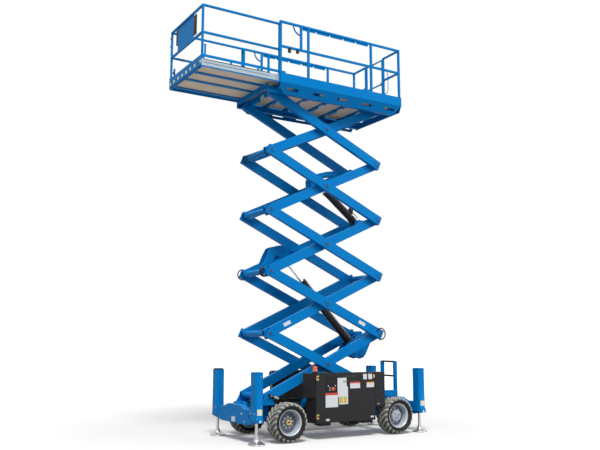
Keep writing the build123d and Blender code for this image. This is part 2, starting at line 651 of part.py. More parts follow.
def platform_frame():
    y0, y1 = platform_half - panel_thick, platform_half
    side = block(deck_rear, deck_front, y0, y1, panel_bottom - ledge, panel_top)
    side = side + block(deck_rear, deck_front, floor_half - 5, y1, panel_bottom - ledge, panel_bottom)
    # sloping skirt with slots, from the side panel's foot inwards
    skirt_top = panel_bottom - ledge + 1
    skirt = plate_x([(y1 - 1, skirt_top), (skirt_y, skirt_bottom), (skirt_y - skirt_thick, skirt_bottom),
                     (y1 - 1 - skirt_thick, skirt_top)], deck_rear, deck_front)
    skirt = skirt & plate([(deck_rear + 4, skirt_top), (deck_front - 4, skirt_top), (deck_front - 4, skirt_bottom + 100),
                           (deck_front - 120, skirt_bottom), (deck_rear + 140, skirt_bottom)],
                          skirt_y - skirt_thick, y1)
    slot_pitch = (deck_front - deck_rear) / skirt_slots
    for i in range(skirt_slots):
        x = deck_rear + (i + 0.5) * slot_pitch
        skirt = skirt - block(x - slot_long / 2, x + slot_long / 2, skirt_y - skirt_thick, y1,
                              (skirt_top + skirt_bottom - slot_tall) / 2, (skirt_top + skirt_bottom + slot_tall) / 2)
    guide = channel(channel_rear, longeron_front, top_pin_z)
    hanger_z = top_pin_z + channel_half + channel_wall - 1
    for x in platform_ribs:
        guide = guide + block(x - 30, x + 30, roller_y, channel_out, hanger_z, panel_bottom - ledge + 1)
    pivot = rod_y(front_pin_x, top_pin_z, pin_radius, outer_arm_y - arm_width / 2 + 2, channel_web_y + 1)
    frame = both_sides(side + skirt + guide + pivot)
    for x in platform_ribs[1:]:
        frame = frame + cross_member(x, 60, floor_bottom - 50, inner_arm_y - arm_width / 2 - 12, floor_bottom - 15, floor_bottom)
    frame = frame + cross_member(platform_ribs[0], 60, top_pin_z, outer_arm_y - arm_width / 2 - 12,
                                 panel_bottom - 20, panel_bottom)
    # rear skirt under the gate, and the front beam that ties the two channels
    corner, low = platform_half - 5, panel_bottom - 130
    frame = frame + plate_x([(-corner, panel_bottom), (65 - corner, low), (corner - 65, low), (corner, panel_bottom)],
                            deck_rear, deck_rear + 6)
    return frame + block(longeron_front - 24, longeron_front, -channel_out, channel_out, top_pin_z + 12, panel_bottom)


def platform_deck():
    return block(deck_rear + 8, deck_front - 46, -floor_half, floor_half, floor_bottom, floor_bottom + main_floor)


def rail_run(x0, x1, y, z_top):
    # a guardrail tube, square, with its top at z_top
    return block(x0, x1, y - rail_tube / 2, y + rail_tube / 2, z_top - rail_tube, z_top)


def post(x, y, z0, z1):
    return block(x - rail_tube / 2, x + rail_tube / 2, y - rail_tube / 2, y + rail_tube / 2, z0, z1)


def side_guardrails():
    y = main_rail_y
    under_rail = top_rail_z - rail_tube
    side = rail_run(deck_rear, deck_front, y, top_rail_z) + rail_run(deck_rear, deck_front, y, mid_rail_z)
    for x in main_post_x:
        side = side + post(x, y, panel_bottom + seat_gap, under_rail)
    # hand hold: a short post and a bent tube that hangs from the top rail
    side = side + post(handle_x, y, mid_rail_z - 1, under_rail + 1)
    bend = Plane((handle_x + handle_reach, y, under_rail)) * Circle(handle_tube)
    side = side + revolve(bend, Axis((handle_x, y, under_rail), (0, 1, 0)), 90)
    # notched rack that locks the roll-out deck's rail
    rack = block(rack_x[1], rack_x[0], y - 4, y + 4, under_rail - rack_depth, under_rail + 1)
    for x in rack_notch_x:
        rack = rack - block(x - 16, x + 16, y - 5, y + 5, under_rail - rack_depth - 1, under_rail - rack_depth + 26)
    return both_sides(side + rack)


def rear_guardrail():
    ends = main_rail_y - rail_tube / 2 - seat_gap
    shape = None
    for y0, y1 in ((-ends, gate_y[0] - rail_tube), (gate_y[1] + rail_tube, ends)):
        for z in (top_rail_z, mid_rail_z):
            bar = block(deck_rear, deck_rear + rail_tube, y0, y1, z - rail_tube, z)
            shape = bar if shape is None else shape + bar
    for y in (gate_y[0] - rail_tube / 2, gate_y[1] + rail_tube / 2):
        shape = shape + post(deck_rear + rail_tube / 2, y, floor_top + seat_gap, top_rail_z)
    return shape


def entry_gate():
    x = deck_rear + rail_tube / 2
    y0, y1 = gate_y[0] + side_gap, gate_y[1] - side_gap
    shape = None
    for z in gate_bar_z:
        bar = rod_y(x, z, gate_tube, y0 + gate_tube, y1 - gate_tube)
        shape = bar if shape is None else shape + bar
    for y in (y0 + gate_tube, y1 - gate_tube):
        shape = shape + rod_z(x, y, gate_tube, gate_bar_z[-1], gate_bar_z[0])
    for z in gate_hinge_z:
        shape = shape + rod_z(x, y1 - gate_tube, gate_tube + side_gap - seat_gap, z - 20, z + 20)
    return shape


def extension_frame():
    y1 = ext_side_y - ext_side_thick / 2 - seat_gap
    under, low = ext_floor_top - ext_floor, floor_top + ext_frame_rise
    side = block(ext_rear, ext_inner, y1 - 54, y1, low, under)
    side = side + block(ext_rear, ext_inner, y1 - 6, y1, ext_side_bottom, under)
    frame = both_sides(side)
    for y in ext_runner_y:
        frame = frame + block(ext_rear, ext_inner, y - 32, y + 32, low, under)
    for x in (ext_rear + 20, ext_inner - 20):
        frame = frame + block(x - 20, x + 20, -y1, y1, low, under)
    return frame + rod_y(ext_inner - front_bar, ext_side_bottom + front_bar, front_bar, -y1, y1)


def side_rails():
    # bright edge rails of the roll-out deck
    y = ext_side_y
    return both_sides(block(ext_rear, ext_inner, y - ext_side_thick / 2, y + ext_side_thick / 2, floor_top, ext_side_top))


def toe_board():
    y1 = ext_side_y + ext_side_thick / 2
    face = ext_front - toe_lip
    side = block(ext_rear, face, y1 - ext_side_thick, y1, *toe_side)
    for x in (ext_rear + 40, 1750, 2280, ext_front - 40):
        side = side + block(x - 20, x + 20, y1 - ext_side_thick, y1, ext_side_top + seat_gap, toe_side[0] + 1)
    front = block(face - ext_side_thick, face, -y1, y1, *toe_front)
    return both_sides(side) + front + block(face - ext_side_thick, ext_front, -y1, y1, toe_front[1] - 8, toe_front[1])


def front_panel():
    x = ext_inner - rail_tube / 2
    return block(x - 3, x + 3, -410, 310, ext_mid_rail_z + seat_gap, ext_top_rail_z - rail_tube - seat_gap)


def extension_deck():
    half = ext_side_y - ext_side_thick / 2 - seat_gap
    return block(ext_rear, ext_inner, -half, half, ext_floor_top - ext_floor, ext_floor_top)


def extension_guardrails():
    front = ext_inner
    rear = ext_post_x[-1] - rail_tube / 2
    side = rail_run(rear, front, ext_rail_y, ext_top_rail_z) + rail_run(rear, front, ext_rail_y, ext_mid_rail_z)
    for x in ext_post_x:
        side = side + post(x, ext_rail_y, ext_floor_top + seat_gap, ext_top_rail_z - rail_tube)
    rails = both_sides(side)
    for z in (ext_top_rail_z, ext_mid_rail_z):
        rails = rails + block(front - rail_tube, front, -ext_rail_y, ext_rail_y, z - rail_tube, z)
    return rails


def control_box():
    back = ext_inner - rail_tube - seat_gap
    top = ext_top_rail_z
    box = plate([(back, top - 316), (back, top - 36), (back - 60, top - 21), (back - 150, top - 76),
                 (back - 150, top - 316)], -545, -375)
    return box + rod_z(back - 75, -430, 11, top - 66, top + 34) + rod_z(back - 75, -430, 19, top + 14, top + 49)


# ---- write every node ---------------------------------------------------------------------------------------
for end, front in (("front", True), ("rear", False)):
    for side, left in (("left", True), ("right", False)):
        save(f"tyre_{end}_{side}", place_wheel(tyre(), front, left))
        save(f"rim_{end}_{side}", place_wheel(rim(front), front, left))
        leg = jack_leg(jack_x[0 if front else 1])
        save(f"jack_leg_{end}_{side}", leg if left else other_side(leg))
save("front_axle", front_axle())
save("rear_axle", rear_axle())
save("knuckle_left", knuckle())
save("knuckle_right", other_side(knuckle()))
save("chassis_frame", chassis_frame())
save("front_outrigger", outrigger(True))
save("rear_outrigger", outrigger(False))
save("control_module", module())
save("control_door", module_door())
save("engine_module", other_side(module()))
save("engine_door", other_side(module_door()))
save("engine_block", other_side(engine_block()))
save("ladder", ladder())
save("beacon", beacon())
for stage in range(1, stages + 1):
    save(f"inner_arms_{stage}", inner_arms(stage))
    save(f"outer_arms_{stage}", outer_arms(stage))
lower = (lower_base, 1, lower_eye, 3)
upper = (upper_base, 3, upper_eye, 4)
save("lower_barrel", barrel(*lower, lower_rod))
save("lower_ram", ram(*lower, lower_rod))
save("upper_barrel", barrel(*upper, upper_rod))
save("upper_ram", ram(*upper, upper_rod))
save("platform_frame", platform_frame())
save("platform_deck", platform_deck())
save("side_guardrails", side_guardrails())
save("rear_guardrail", rear_guardrail())
save("entry_gate", entry_gate())
save("extension_frame", extension_frame())
save("extension_deck", extension_deck())
save("extension_guardrails", extension_guardrails())
save("side_rails", side_rails())
save("toe_board", toe_board())
save("front_panel", front_panel())
save("control_box", control_box())
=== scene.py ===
# Rough-terrain scissor lift: finishes, detailed pieces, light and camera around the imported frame.
# Metres, +X forward, +Y left, +Z up. The frame's nodes stay in place; new pieces ride on bodies.
import bpy
import bmesh
import json
import math
from mathutils import Matrix, Vector


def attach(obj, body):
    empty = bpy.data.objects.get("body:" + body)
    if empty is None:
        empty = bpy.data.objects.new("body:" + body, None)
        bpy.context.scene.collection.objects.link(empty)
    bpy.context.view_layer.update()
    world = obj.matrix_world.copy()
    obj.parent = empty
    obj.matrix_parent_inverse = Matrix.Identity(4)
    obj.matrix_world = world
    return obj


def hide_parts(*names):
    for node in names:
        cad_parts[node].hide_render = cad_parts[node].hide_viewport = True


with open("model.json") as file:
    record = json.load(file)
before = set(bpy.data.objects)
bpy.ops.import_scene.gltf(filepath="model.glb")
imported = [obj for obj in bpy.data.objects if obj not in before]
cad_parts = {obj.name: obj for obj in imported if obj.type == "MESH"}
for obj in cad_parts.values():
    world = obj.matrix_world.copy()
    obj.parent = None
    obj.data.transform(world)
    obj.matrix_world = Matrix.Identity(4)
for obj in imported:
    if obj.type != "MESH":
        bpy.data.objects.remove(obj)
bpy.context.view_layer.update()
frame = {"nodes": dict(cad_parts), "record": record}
nodes = frame["nodes"]


# a small wrapper writes shader maths as plain expressions
class Shade:
    def __init__(self, tree, socket):
        self.tree, self.socket = tree, socket

    def maths(self, operation, a, b):
        node = self.tree.nodes.new("ShaderNodeMath")
        node.operation = operation
        for place, value in ((0, a), (1, b)):
            if isinstance(value, Shade):
                self.tree.links.new(value.socket, node.inputs[place])
            else:
                node.inputs[place].default_value = value
        return Shade(self.tree, node.outputs[0])

    def __add__(self, other): return self.maths("ADD", self, other)
    def __mul__(self, other): return self.maths("MULTIPLY", self, other)
    def atLeast(self, other): return self.maths("MAXIMUM", self, other)

    def ramp(self, low, high):     # 0 below low, 1 above high, straight between
        node = self.tree.nodes.new("ShaderNodeMapRange")
        node.clamp = True
        self.tree.links.new(self.socket, node.inputs["Value"])
        node.inputs["From Min"].default_value = low
        node.inputs["From Max"].default_value = high
        return Shade(self.tree, node.outputs["Result"])


class Finish:
    def __init__(self, name, colour, roughness=0.5, metallic=0.0, **more):
        self.material = bpy.data.materials.new(name)
        self.material.use_nodes = True
        self.tree = self.material.node_tree
        self.shader = self.tree.nodes["Principled BSDF"]
        self.material.diffuse_color = (*colour, 1)
        self.feed("Base Color", (*colour, 1))
        self.feed("Roughness", roughness)
        self.feed("Metallic", metallic)
        for socket, value in more.items():
            self.feed(socket.replace("_", " "), value)

    def feed(self, socket, value):
        if isinstance(value, Shade):
            self.tree.links.new(value.socket, self.shader.inputs[socket])
        else:
            self.shader.inputs[socket].default_value = value

    def node(self, kind, settings=None, output=0, **sockets):
        made = self.tree.nodes.new("ShaderNode" + kind)
        for key, value in (settings or {}).items():
            setattr(made, key, value)
        for key, value in sockets.items():
            key = key.replace("_", " ")
            if isinstance(value, Shade):
                self.tree.links.new(value.socket, made.inputs[key])
            else:
                made.inputs[key].default_value = value
        return Shade(self.tree, made.outputs[output])

    def place(self):
        return self.node("TexCoord", output="Object")

    def cloud(self, scale, detail=3.0):
        return self.node("TexNoise", {}, "Fac", Vector=self.place(), Scale=scale, Detail=detail,
                         Roughness=0.55)

    def mix(self, factor, a, b):
        made = self.tree.nodes.new("ShaderNodeMix")
        made.data_type = "RGBA"
        made.inputs[6].default_value = (*a, 1)
        made.inputs[7].default_value = (*b, 1)
        self.tree.links.new(factor.socket, made.inputs[0])
        return Shade(self.tree, made.outputs[2])

    def stained(self, scale, detail, low, high, depth, clean, dirty):
        factor = self.cloud(scale, detail).ramp(low, high) * depth
        self.feed("Base Color", self.mix(factor, clean, dirty))

    def patchy(self, scale, depth, least):
        self.feed("Roughness", self.cloud(scale) * depth + least)

    def grainy(self, scale, strength, distance):
        height = self.cloud(scale, 4.0)
        self.feed("Normal", self.node("Bump", {}, "Normal", Height=height, Strength=strength,
                                      Distance=distance))


# paint and covers
blue = Finish("bluePaint", (0.0006, 0.190, 0.530), 0.42, Specular_IOR_Level=0.05)
blue.stained(3.1, 3.0, 0.35, 0.75, 0.35, (0.0006, 0.190, 0.530), (0.0008, 0.160, 0.455))
blue.patchy(21.0, 0.16, 0.34)
black = Finish("blackCovers", (0.019, 0.018, 0.020), 0.5, Specular_IOR_Level=0.16)
black.patchy(14.0, 0.2, 0.4)
matteBlack = Finish("blackFittings", (0.010, 0.010, 0.011), 0.55, Specular_IOR_Level=0.2)
hoseRubber = Finish("hoseRubber", (0.012, 0.012, 0.013), 0.5, Specular_IOR_Level=0.25)

# tyres and rims
tread = Finish("dustyTread", (0.20, 0.20, 0.175), 0.92, Specular_IOR_Level=0.1)
tread.stained(38.0, 5.0, 0.36, 0.68, 1.0, (0.085, 0.086, 0.076), (0.185, 0.185, 0.160))
tread.grainy(260.0, 0.35, 0.0015)
lugDust = Finish("dustyLugs", (0.33, 0.335, 0.295), 0.92, Specular_IOR_Level=0.1)
lugDust.stained(31.0, 5.0, 0.32, 0.70, 1.0, (0.27, 0.272, 0.240), (0.50, 0.505, 0.455))
lugDust.grainy(240.0, 0.3, 0.0015)
sidewall = Finish("sidewall", (0.014, 0.014, 0.014), 0.55, Specular_IOR_Level=0.25)
sidewall.stained(24.0, 4.0, 0.5, 0.85, 0.2, (0.010, 0.010, 0.011), (0.070, 0.068, 0.062))
rimPaint = Finish("rimPaint", (0.50, 0.555, 0.60), 0.38, 0.15)
rimPaint.stained(9.0, 4.0, 0.4, 0.8, 0.4, (0.52, 0.575, 0.62), (0.36, 0.37, 0.36))
# the disc's paint is the rim's paint made darker: its mottling is the paint's own, its darkness is
# painted shade of the deep dish
shadedRimDisc = Finish("shadedRimDisc", (0.20, 0.235, 0.29), 0.5, 0.15)
shadedRimDisc.stained(27.0, 5.0, 0.35, 0.7, 1.0, (0.070, 0.095, 0.135), (0.185, 0.210, 0.250))
hubCap = Finish("hubCap", (0.36, 0.40, 0.46), 0.42, 0.2)

# bare metal, deck and lens
steel = Finish("machinedSteel", (0.50, 0.50, 0.49), 0.32, 0.9)
steel.patchy(30.0, 0.2, 0.22)
padSteel = Finish("padSteel", (0.34, 0.35, 0.345), 0.34, 0.8)
chrome = Finish("hardChrome", (0.74, 0.75, 0.77), 0.12, 1.0)
brass = Finish("goldZinc", (0.52, 0.38, 0.16), 0.36, 0.7)
pinEnd = Finish("pinEnd", (0.020, 0.050, 0.085), 0.4, 0.5)
alloy = Finish("alloy", (0.37, 0.46, 0.54), 0.45, 0.2, Specular_IOR_Level=0.3)
plywood = Finish("plywood", (0.80, 0.64, 0.47), 0.7)
plywood.stained(9.0, 5.0, 0.3, 0.75, 1.0, (0.74, 0.58, 0.42), (0.90, 0.74, 0.56))
amber = Finish("amberLens", (0.74, 0.125, 0.008), 0.22, Coat_Weight=0.4, Coat_Roughness=0.08)

# blank plates and patches
whiteLabel = Finish("plainLabel", (0.66, 0.68, 0.70))
creamLabel = Finish("creamLabel", (0.74, 0.73, 0.64), 0.45)
redBand = Finish("redBand", (0.62, 0.040, 0.028), 0.45)
orangeBand = Finish("orangeBand", (0.86, 0.33, 0.03), 0.45)
yellowPatch = Finish("yellowPatch", (0.92, 0.76, 0.16), 0.4)
greenPatch = Finish("greenPatch", (0.30, 0.50, 0.10), 0.45)
creamPatch = Finish("creamPatch", (0.92, 0.84, 0.42), 0.4)

# the frame's nodes take these finishes by their slot
finishes = {"blue_paint": blue, "black_paint": black, "tyre": tread, "rim": rimPaint,
            "steel": steel, "chrome": chrome, "deck": plywood, "amber": amber, "alloy": alloy}
slotOf = {row["node"]: row["material_slot"] for row in frame["record"]["subparts"]}
for name, piece in nodes.items():
    piece.data.materials.clear()
    piece.data.materials.append(finishes[slotOf[name]].material)
print("finishes on the frame")

storedX = 0.490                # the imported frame's zero is this far ahead of the wheelbase's middle
mergeGap = 0.00002             # corners closer than this are one


# each piece is built about the wheelbase's middle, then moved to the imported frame
class Piece:
    def __init__(self, name, body, *paints):
        self.name, self.body, self.paints = name, body, paints
        self.bm, self.paint, self.seen = bmesh.new(), 0, set()

    def painted(self):             # faces made since the last call take the paint in hand
        for face in self.bm.faces:
            if face not in self.seen:
                face.material_index = self.paint
                self.seen.add(face)

    def box(self, xs, ys, zs, width=0.0, steps=2):
        middle = Vector([(a + b) / 2 for a, b in (xs, ys, zs)])
        size = [abs(b - a) for a, b in (xs, ys, zs)]
        place = Matrix.Translation(middle) @ Matrix.Diagonal((*size, 1))
        made = bmesh.ops.create_cube(self.bm, size=1.0, matrix=place)
        if width:
            edges = {edge for vert in made["verts"] for edge in vert.link_edges}
            bmesh.ops.bevel(self.bm, geom=list(edges), offset=width, segments=steps, profile=0.5,
                            affect="EDGES", material=-1)
        self.painted()

    def rod(self, a, b, radius, facets=24):
        a, b = Vector(a), Vector(b)
        turn = (b - a).to_track_quat("Z", "Y").to_matrix().to_4x4()
        place = Matrix.Translation((a + b) / 2) @ turn
        bmesh.ops.create_cone(self.bm, cap_ends=True, segments=facets, radius1=radius,
                              radius2=radius, depth=(b - a).length, matrix=place)
        self.painted()

    def spun(self, profile, centre, axis="Y", steps=48, closed=False):
        # profile rows are (radius, distance along the axis)
        spindle = Vector([float(letter == axis) for letter in "XYZ"])
        side = Vector((1, 0, 0)) if axis == "Z" else Vector((0, 0, 1))
        verts = [self.bm.verts.new(Vector(centre) + side * r + spindle * d) for r, d in profile]
        pairs = zip(verts, verts[1:] + verts[:1] if closed else verts[1:])
        edges = [self.bm.edges.new(pair) for pair in pairs]
        bmesh.ops.spin(self.bm, geom=verts + edges, cent=centre, axis=spindle, angle=math.tau,
                       steps=steps, use_merge=True)
        bmesh.ops.remove_doubles(self.bm, verts=self.bm.verts, dist=mergeGap)
        self.painted()

    def plate(self, outline, low, high):
        # outline rows are (x, z), and the plate is as thick as low to high in y
        face = self.bm.faces.new([self.bm.verts.new((x, low, z)) for x, z in outline])
        made = bmesh.ops.extrude_face_region(self.bm, geom=[face])
        moved = [part for part in made["geom"] if isinstance(part, bmesh.types.BMVert)]
        bmesh.ops.translate(self.bm, verts=moved, vec=(0, high - low, 0))
        self.painted()

    def joined(self, rings):       # a closed skin over rings of equal count
        for near, far in zip(rings, rings[1:]):
            for k in range(len(near)):
                j = (k + 1) % len(near)
                self.bm.faces.new((near[k], near[j], far[j], far[k]))
        self.bm.faces.new(rings[0])
        self.bm.faces.new(rings[-1])

    def hose(self, points, radius, facets=10, fine=6):
        # a round hose along a smooth curve through the points
        knots = [Vector(p) for p in points]
        line = [2 * knots[0] - knots[1]] + knots + [2 * knots[-1] - knots[-2]]
        path = []
        for i in range(1, len(line) - 2):
            p0, p1, p2, p3 = line[i - 1:i + 3]
            for k in range(fine):
                t = k / fine
                path.append(0.5 * (2 * p1 + (p2 - p0) * t + (2 * p0 - 5 * p1 + 4 * p2 - p3) * t * t
                                   + (3 * p1 - p0 - 3 * p2 + p3) * t ** 3))
        path.append(knots[-1])
        turns = [math.tau * k / facets for k in range(facets)]
        rings, side = [], None
        for i, point in enumerate(path):
            ahead = (path[min(i + 1, len(path) - 1)] - path[max(i - 1, 0)]).normalized()
            side = (side or ahead.orthogonal()).cross(ahead).cross(ahead).normalized() * -1
            up = ahead.cross(side)
            rings.append([self.bm.verts.new(point + side * radius * math.cos(a)
                                            + up * radius * math.sin(a)) for a in turns])
        self.joined(rings)
        self.painted()

    def bolt(self, at, axis, radius=0.011, height=0.008, washer=True):
        way, foot = Vector(axis), Vector(at)
        if washer:
            self.rod(foot, foot + way * height * 0.25, radius * 1.55, 20)
        self.rod(foot, foot + way * height, radius, 6)

    def done(self, replaces=(), sharp=35.0, slot=None):
        bmesh.ops.recalc_face_normals(self.bm, faces=self.bm.faces)
        bmesh.ops.translate(self.bm, verts=self.bm.verts, vec=(-storedX, 0, 0))
        made = shown(self.name, self.bm, sharp, [paint.material for paint in self.paints])
        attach(made, self.body)
        if replaces:
            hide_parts(*replaces)


def shown(name, bm, sharp, materials):
    # the finished mesh, smooth but for edges that fold by more than sharp degrees
    for face in bm.faces:
        face.smooth = True
    for edge in bm.edges:
        edge.smooth = edge.calc_face_angle(math.pi) < math.radians(sharp)
    mesh = bpy.data.meshes.new(name)
    bm.to_mesh(mesh)
    bm.free()
    for material in materials:
        mesh.materials.append(material)
    made = bpy.data.objects.new(name, mesh)
    bpy.context.scene.collection.objects.link(made)
    return made


def skin(face, side, depth):       # a thin layer's place on a face, outwards on its side
    return sorted((side * face, side * (face + depth)))


def around(middle, half):
    return middle - half, middle + half


sides = {"left": 1, "right": -1}
ends = {"front": 1, "rear": -1}

# tyres: a spun carcass with raised chevron lugs, dusty tread and black walls
tyre = {"axle": 1.145, "middle": 0.7225, "height": 0.330, "radius": 0.330, "clear": 0.0006,
        "lug": 0.0165, "each": 21, "sweep": 2.45, "half": 0.0145, "flank": 0.0045, "root": 0.004,
        "wallWithin": 0.288, "rings": ((0.244, 0.1425), (0.262, 0.1470))}
treadHalf = [(0.3130, 0.003), (0.3125, 0.060), (0.3110, 0.105), (0.3060, 0.130), (0.2960, 0.1435),
             (0.2840, 0.1472), (0.2780, 0.1475)]
wall = [(0.2200, 0.104), (0.2215, 0.117), (0.2300, 0.130), (0.2460, 0.1425), (0.2660, 0.1478),
        (0.2820, 0.1472), (0.2960, 0.1430), (0.3060, 0.1300), (0.3110, 0.105), (0.3125, 0.060),
        (0.3130, 0.020)]
carcass = wall + [(r, -y) for r, y in reversed(wall)]
lugStations = [(0.0, 1.00), (1.0, 1.00), (2.0, 1.00), (3.0, 0.96), (3.6, 0.80), (4.1, 0.52),
               (4.7, 0.30), (5.4, 0.10)]     # place along the half tread, share of the lug's height


def alongTread(t):             # place on the half profile, from the tread's middle to the wall
    i = min(int(t), len(treadHalf) - 2)
    return [a + (b - a) * (t - i) for a, b in zip(treadHalf[i], treadHalf[i + 1])]


def lug(part, centre, side, start):
    rings = []
    for t, lift in lugStations:
        radius, y = alongTread(t)
        half = tyre["half"] + 0.004 * max(0.0, 1.0 - t) - 0.0015 * max(0.0, t - 4)
        foot, rise = half + tyre["flank"], lift * tyre["lug"]
        ring = []
        root = -tyre["root"]
        for wide, up in ((-foot, root), (-half, rise), (half, rise), (foot, root)):
            angle = start - y * tyre["sweep"] + wide / radius
            reach = min(radius + up, tyre["radius"] - tyre["clear"])
            across, up = reach * math.sin(angle), reach * math.cos(angle)
            place = (centre[0] + across, centre[1] + side * y, centre[2] + up)
            ring.append(part.bm.verts.new(place))
        rings.append(ring)
    part.joined(rings)


def wheels():
    for end, way in ends.items():
        for side, s in sides.items():
            yield end, side, s, (way * tyre["axle"], s * tyre["middle"], tyre["height"])


for end, side, s, middle in wheels():
    rubber = Piece(f"tyreDetail_{end}_{side}", f"wheel_{end}_{side}", tread, sidewall, lugDust)
    rubber.spun(carcass, middle, steps=84, closed=True)
    for face in rubber.bm.faces:
        spot = face.calc_center_median() - Vector(middle)
        if math.hypot(spot.x, spot.z) < tyre["wallWithin"]:
            face.material_index = 1
    rubber.paint = 2
    for half, shift in ((1, 0.0), (-1, 0.5)):
        for i in range(tyre["each"]):
            lug(rubber, middle, half, math.tau * (i + shift) / tyre["each"])
    rubber.painted()
    rubber.paint = 1
    for r, y in tyre["rings"]:     # moulded rings on each wall
        for out in (1, -1):
            low, high = out * (y - 0.004), out * (y + 0.0022)
            rubber.spun([(r - 0.003, low), (r, high), (r + 0.003, low)], middle, steps=60)
    rubber.done(replaces=[f"tyre_{end}_{side}"], sharp=28.0, slot="tyre")
print("tyres")

# rims: deep dish, with lips, bolt circle and hubs; rows are (radius, distance from the middle)
rimParts = {
    "outerLip": [(0.198, 0.104), (0.212, 0.108), (0.2165, 0.114), (0.2175, 0.1205),
                 (0.2130, 0.1235), (0.2060, 0.1195), (0.1960, 0.108), (0.1900, 0.094),
                 (0.1880, 0.060), (0.1870, 0.010), (0.1840, -0.004)],
    "innerLip": [(0.198, -0.104), (0.212, -0.108), (0.2165, -0.114), (0.2160, -0.1205),
                 (0.210, -0.1225), (0.190, -0.108), (0.190, -0.020), (0.186, -0.012),
                 (0.082, -0.012)],
    "barrel": [(0.198, 0.104), (0.198, -0.104)],
    "dish": [(0.184, -0.004), (0.176, -0.008), (0.160, -0.008), (0.150, -0.004), (0.142, 0.002),
             (0.112, 0.004), (0.104, 0.008), (0.080, 0.008)],
    "hubFront": [(0.106, 0.006), (0.106, 0.018), (0.100, 0.023), (0.072, 0.025), (0.066, 0.032),
                 (0.050, 0.034), (0.0, 0.034)],
    "hubRear": [(0.104, 0.006), (0.104, 0.052), (0.098, 0.058), (0.060, 0.060), (0.052, 0.064),
                (0.0, 0.065)],
    "cap": [(0.050, 0.032), (0.050, 0.066), (0.045, 0.073), (0.022, 0.075), (0.018, 0.071),
            (0.0, 0.070)],
    "plug": [(0.017, 0.0712), (0.0, 0.0716)]}
wheelBolts = {"count": 9, "radius": 0.0095, "height": 0.014,
              "circle": {"front": 0.088, "rear": 0.127}, "face": {"front": 0.024, "rear": 0.003}}
capBolts = {"count": 3, "radius": 0.008, "height": 0.006, "circle": 0.038, "face": 0.0635}


def boltCircle(part, centre, s, bolts, circle, face, shift, washer=True):
    for k in range(bolts["count"]):
        a = math.tau * (k + shift) / bolts["count"]
        at = Vector(centre) + Vector((circle * math.cos(a), face * s, circle * math.sin(a)))
        part.bolt(at, (0, s, 0), bolts["radius"], bolts["height"], washer)


for end, side, s, centre in wheels():
    rim = Piece(f"rimDetail_{end}_{side}", f"wheel_{end}_{side}", rimPaint, shadedRimDisc, steel, brass,
                hubCap, matteBlack)
    isFront = end == "front"
    turned = {part: [(r, y * s) for r, y in rows] for part, rows in rimParts.items()}
    for part in ("innerLip", "outerLip", "barrel"):
        rim.spun(turned[part], centre, steps=72)
    # the dish and the front hubs take the darker disc paint, which is painted shade of the deep dish
    rim.paint = 1
    rim.spun(turned["dish"], centre, steps=72)
    rim.paint = 1 if isFront else 4
    rim.spun(turned["hubFront" if isFront else "hubRear"], centre, steps=56)
    rim.paint = 2
    circle, face = wheelBolts["circle"][end], wheelBolts["face"][end]
    boltCircle(rim, centre, s, wheelBolts, circle, face, 0.25)
    if isFront:
        rim.paint = 3
        rim.spun(turned["cap"], centre, steps=40)
        rim.paint = 5
        rim.spun(turned["plug"], centre, steps=24)
    else:
        rim.paint = 5
        boltCircle(rim, centre, s, capBolts, capBolts["circle"], capBolts["face"], 0.4, False)
    rim.done(replaces=[f"rim_{end}_{side}"], sharp=30.0, slot="rim")
print("rims")

# softened copies of the plate and tube work: merged, cleaned, small rounded edges
softness = {
    "chassis_frame": 0.004, "front_outrigger": 0.003, "rear_outrigger": 0.003,
    "platform_frame": 0.002, "control_module": 0.003, "engine_module": 0.003,
    "control_door": 0.006, "engine_door": 0.006, "ladder": 0.006, "side_guardrails": 0.006,
    "rear_guardrail": 0.006, "extension_guardrails": 0.006, "extension_frame": 0.002,
    "toe_board": 0.002, "side_rails": 0.002, "control_box": 0.006,
    "front_axle": 0.005, "rear_axle": 0.005, "platform_deck": 0.002, "extension_deck": 0.002,
    "front_panel": 0.0015, "engine_block": 0.008, "knuckle_left": 0.003, "knuckle_right": 0.003,
    "entry_gate": 0.0, "lower_barrel": 0.003, "upper_barrel": 0.003, "lower_ram": 0.002,
    "upper_ram": 0.002}
softness.update({f"{kind}_arms_{i}": 0.005 for i in range(1, 6) for kind in ("inner", "outer")})
softness.update({f"jack_leg_{end}_{side}": 0.002 for end in ends for side in sides})
foldAngle = 32                 # edges that fold by more degrees than this are sharp, and rounded
sharpAt = {"platform_frame": 17, "chassis_frame": 24, "control_module": 20, "engine_module": 20}
bodyGroups = frame["record"]["behaviour"]["bodies"].items()
bodyOf = {name: body for body, rows in bodyGroups for name in rows}
for name, width in softness.items():
    bm = bmesh.new()
    bm.from_mesh(nodes[name].data)
    bm.transform(nodes[name].matrix_world)
    bmesh.ops.remove_doubles(bm, verts=bm.verts, dist=mergeGap)
    bmesh.ops.dissolve_limit(bm, angle_limit=math.radians(0.6), verts=bm.verts, edges=bm.edges)
    finish = finishes[slotOf[name]]
    soft = shown(name + "Soft", bm, sharpAt.get(name, foldAngle), [finish.material])
    if width:
        rounding = soft.modifiers.new("rounding", "BEVEL")
        rounding.width, rounding.segments, rounding.limit_method = width, 2, "ANGLE"
        rounding.angle_limit, rounding.harden_normals = math.radians(foldAngle), True
        rounding.use_clamp_overlap = True
    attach(soft, bodyOf[name])
    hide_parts(name)
print("softened nodes:", len(softness))

# places along the scissor arms, at rest
arm = {"length": 2.590, "angle": math.radians(24.67), "front": 1.367, "foot": 0.7225,
       "outFace": 0.536, "inFace": 0.448, "inside": 0.372}
stageRise = arm["length"] * math.sin(arm["angle"])
rearPin = arm["front"] - arm["length"] * math.cos(arm["angle"])


def onArm(kind, stage, s, n=0.0):      # s along the arm from its lower pin, n square to it
    c, d = math.cos(arm["angle"]), math.sin(arm["angle"])
    z = arm["foot"] + (stage - 1) * stageRise
    if kind == "inner":
        return arm["front"] - s * c + n * d, z + s * d + n * c
    return rearPin + s * c - n * d, z + s * d + n * c
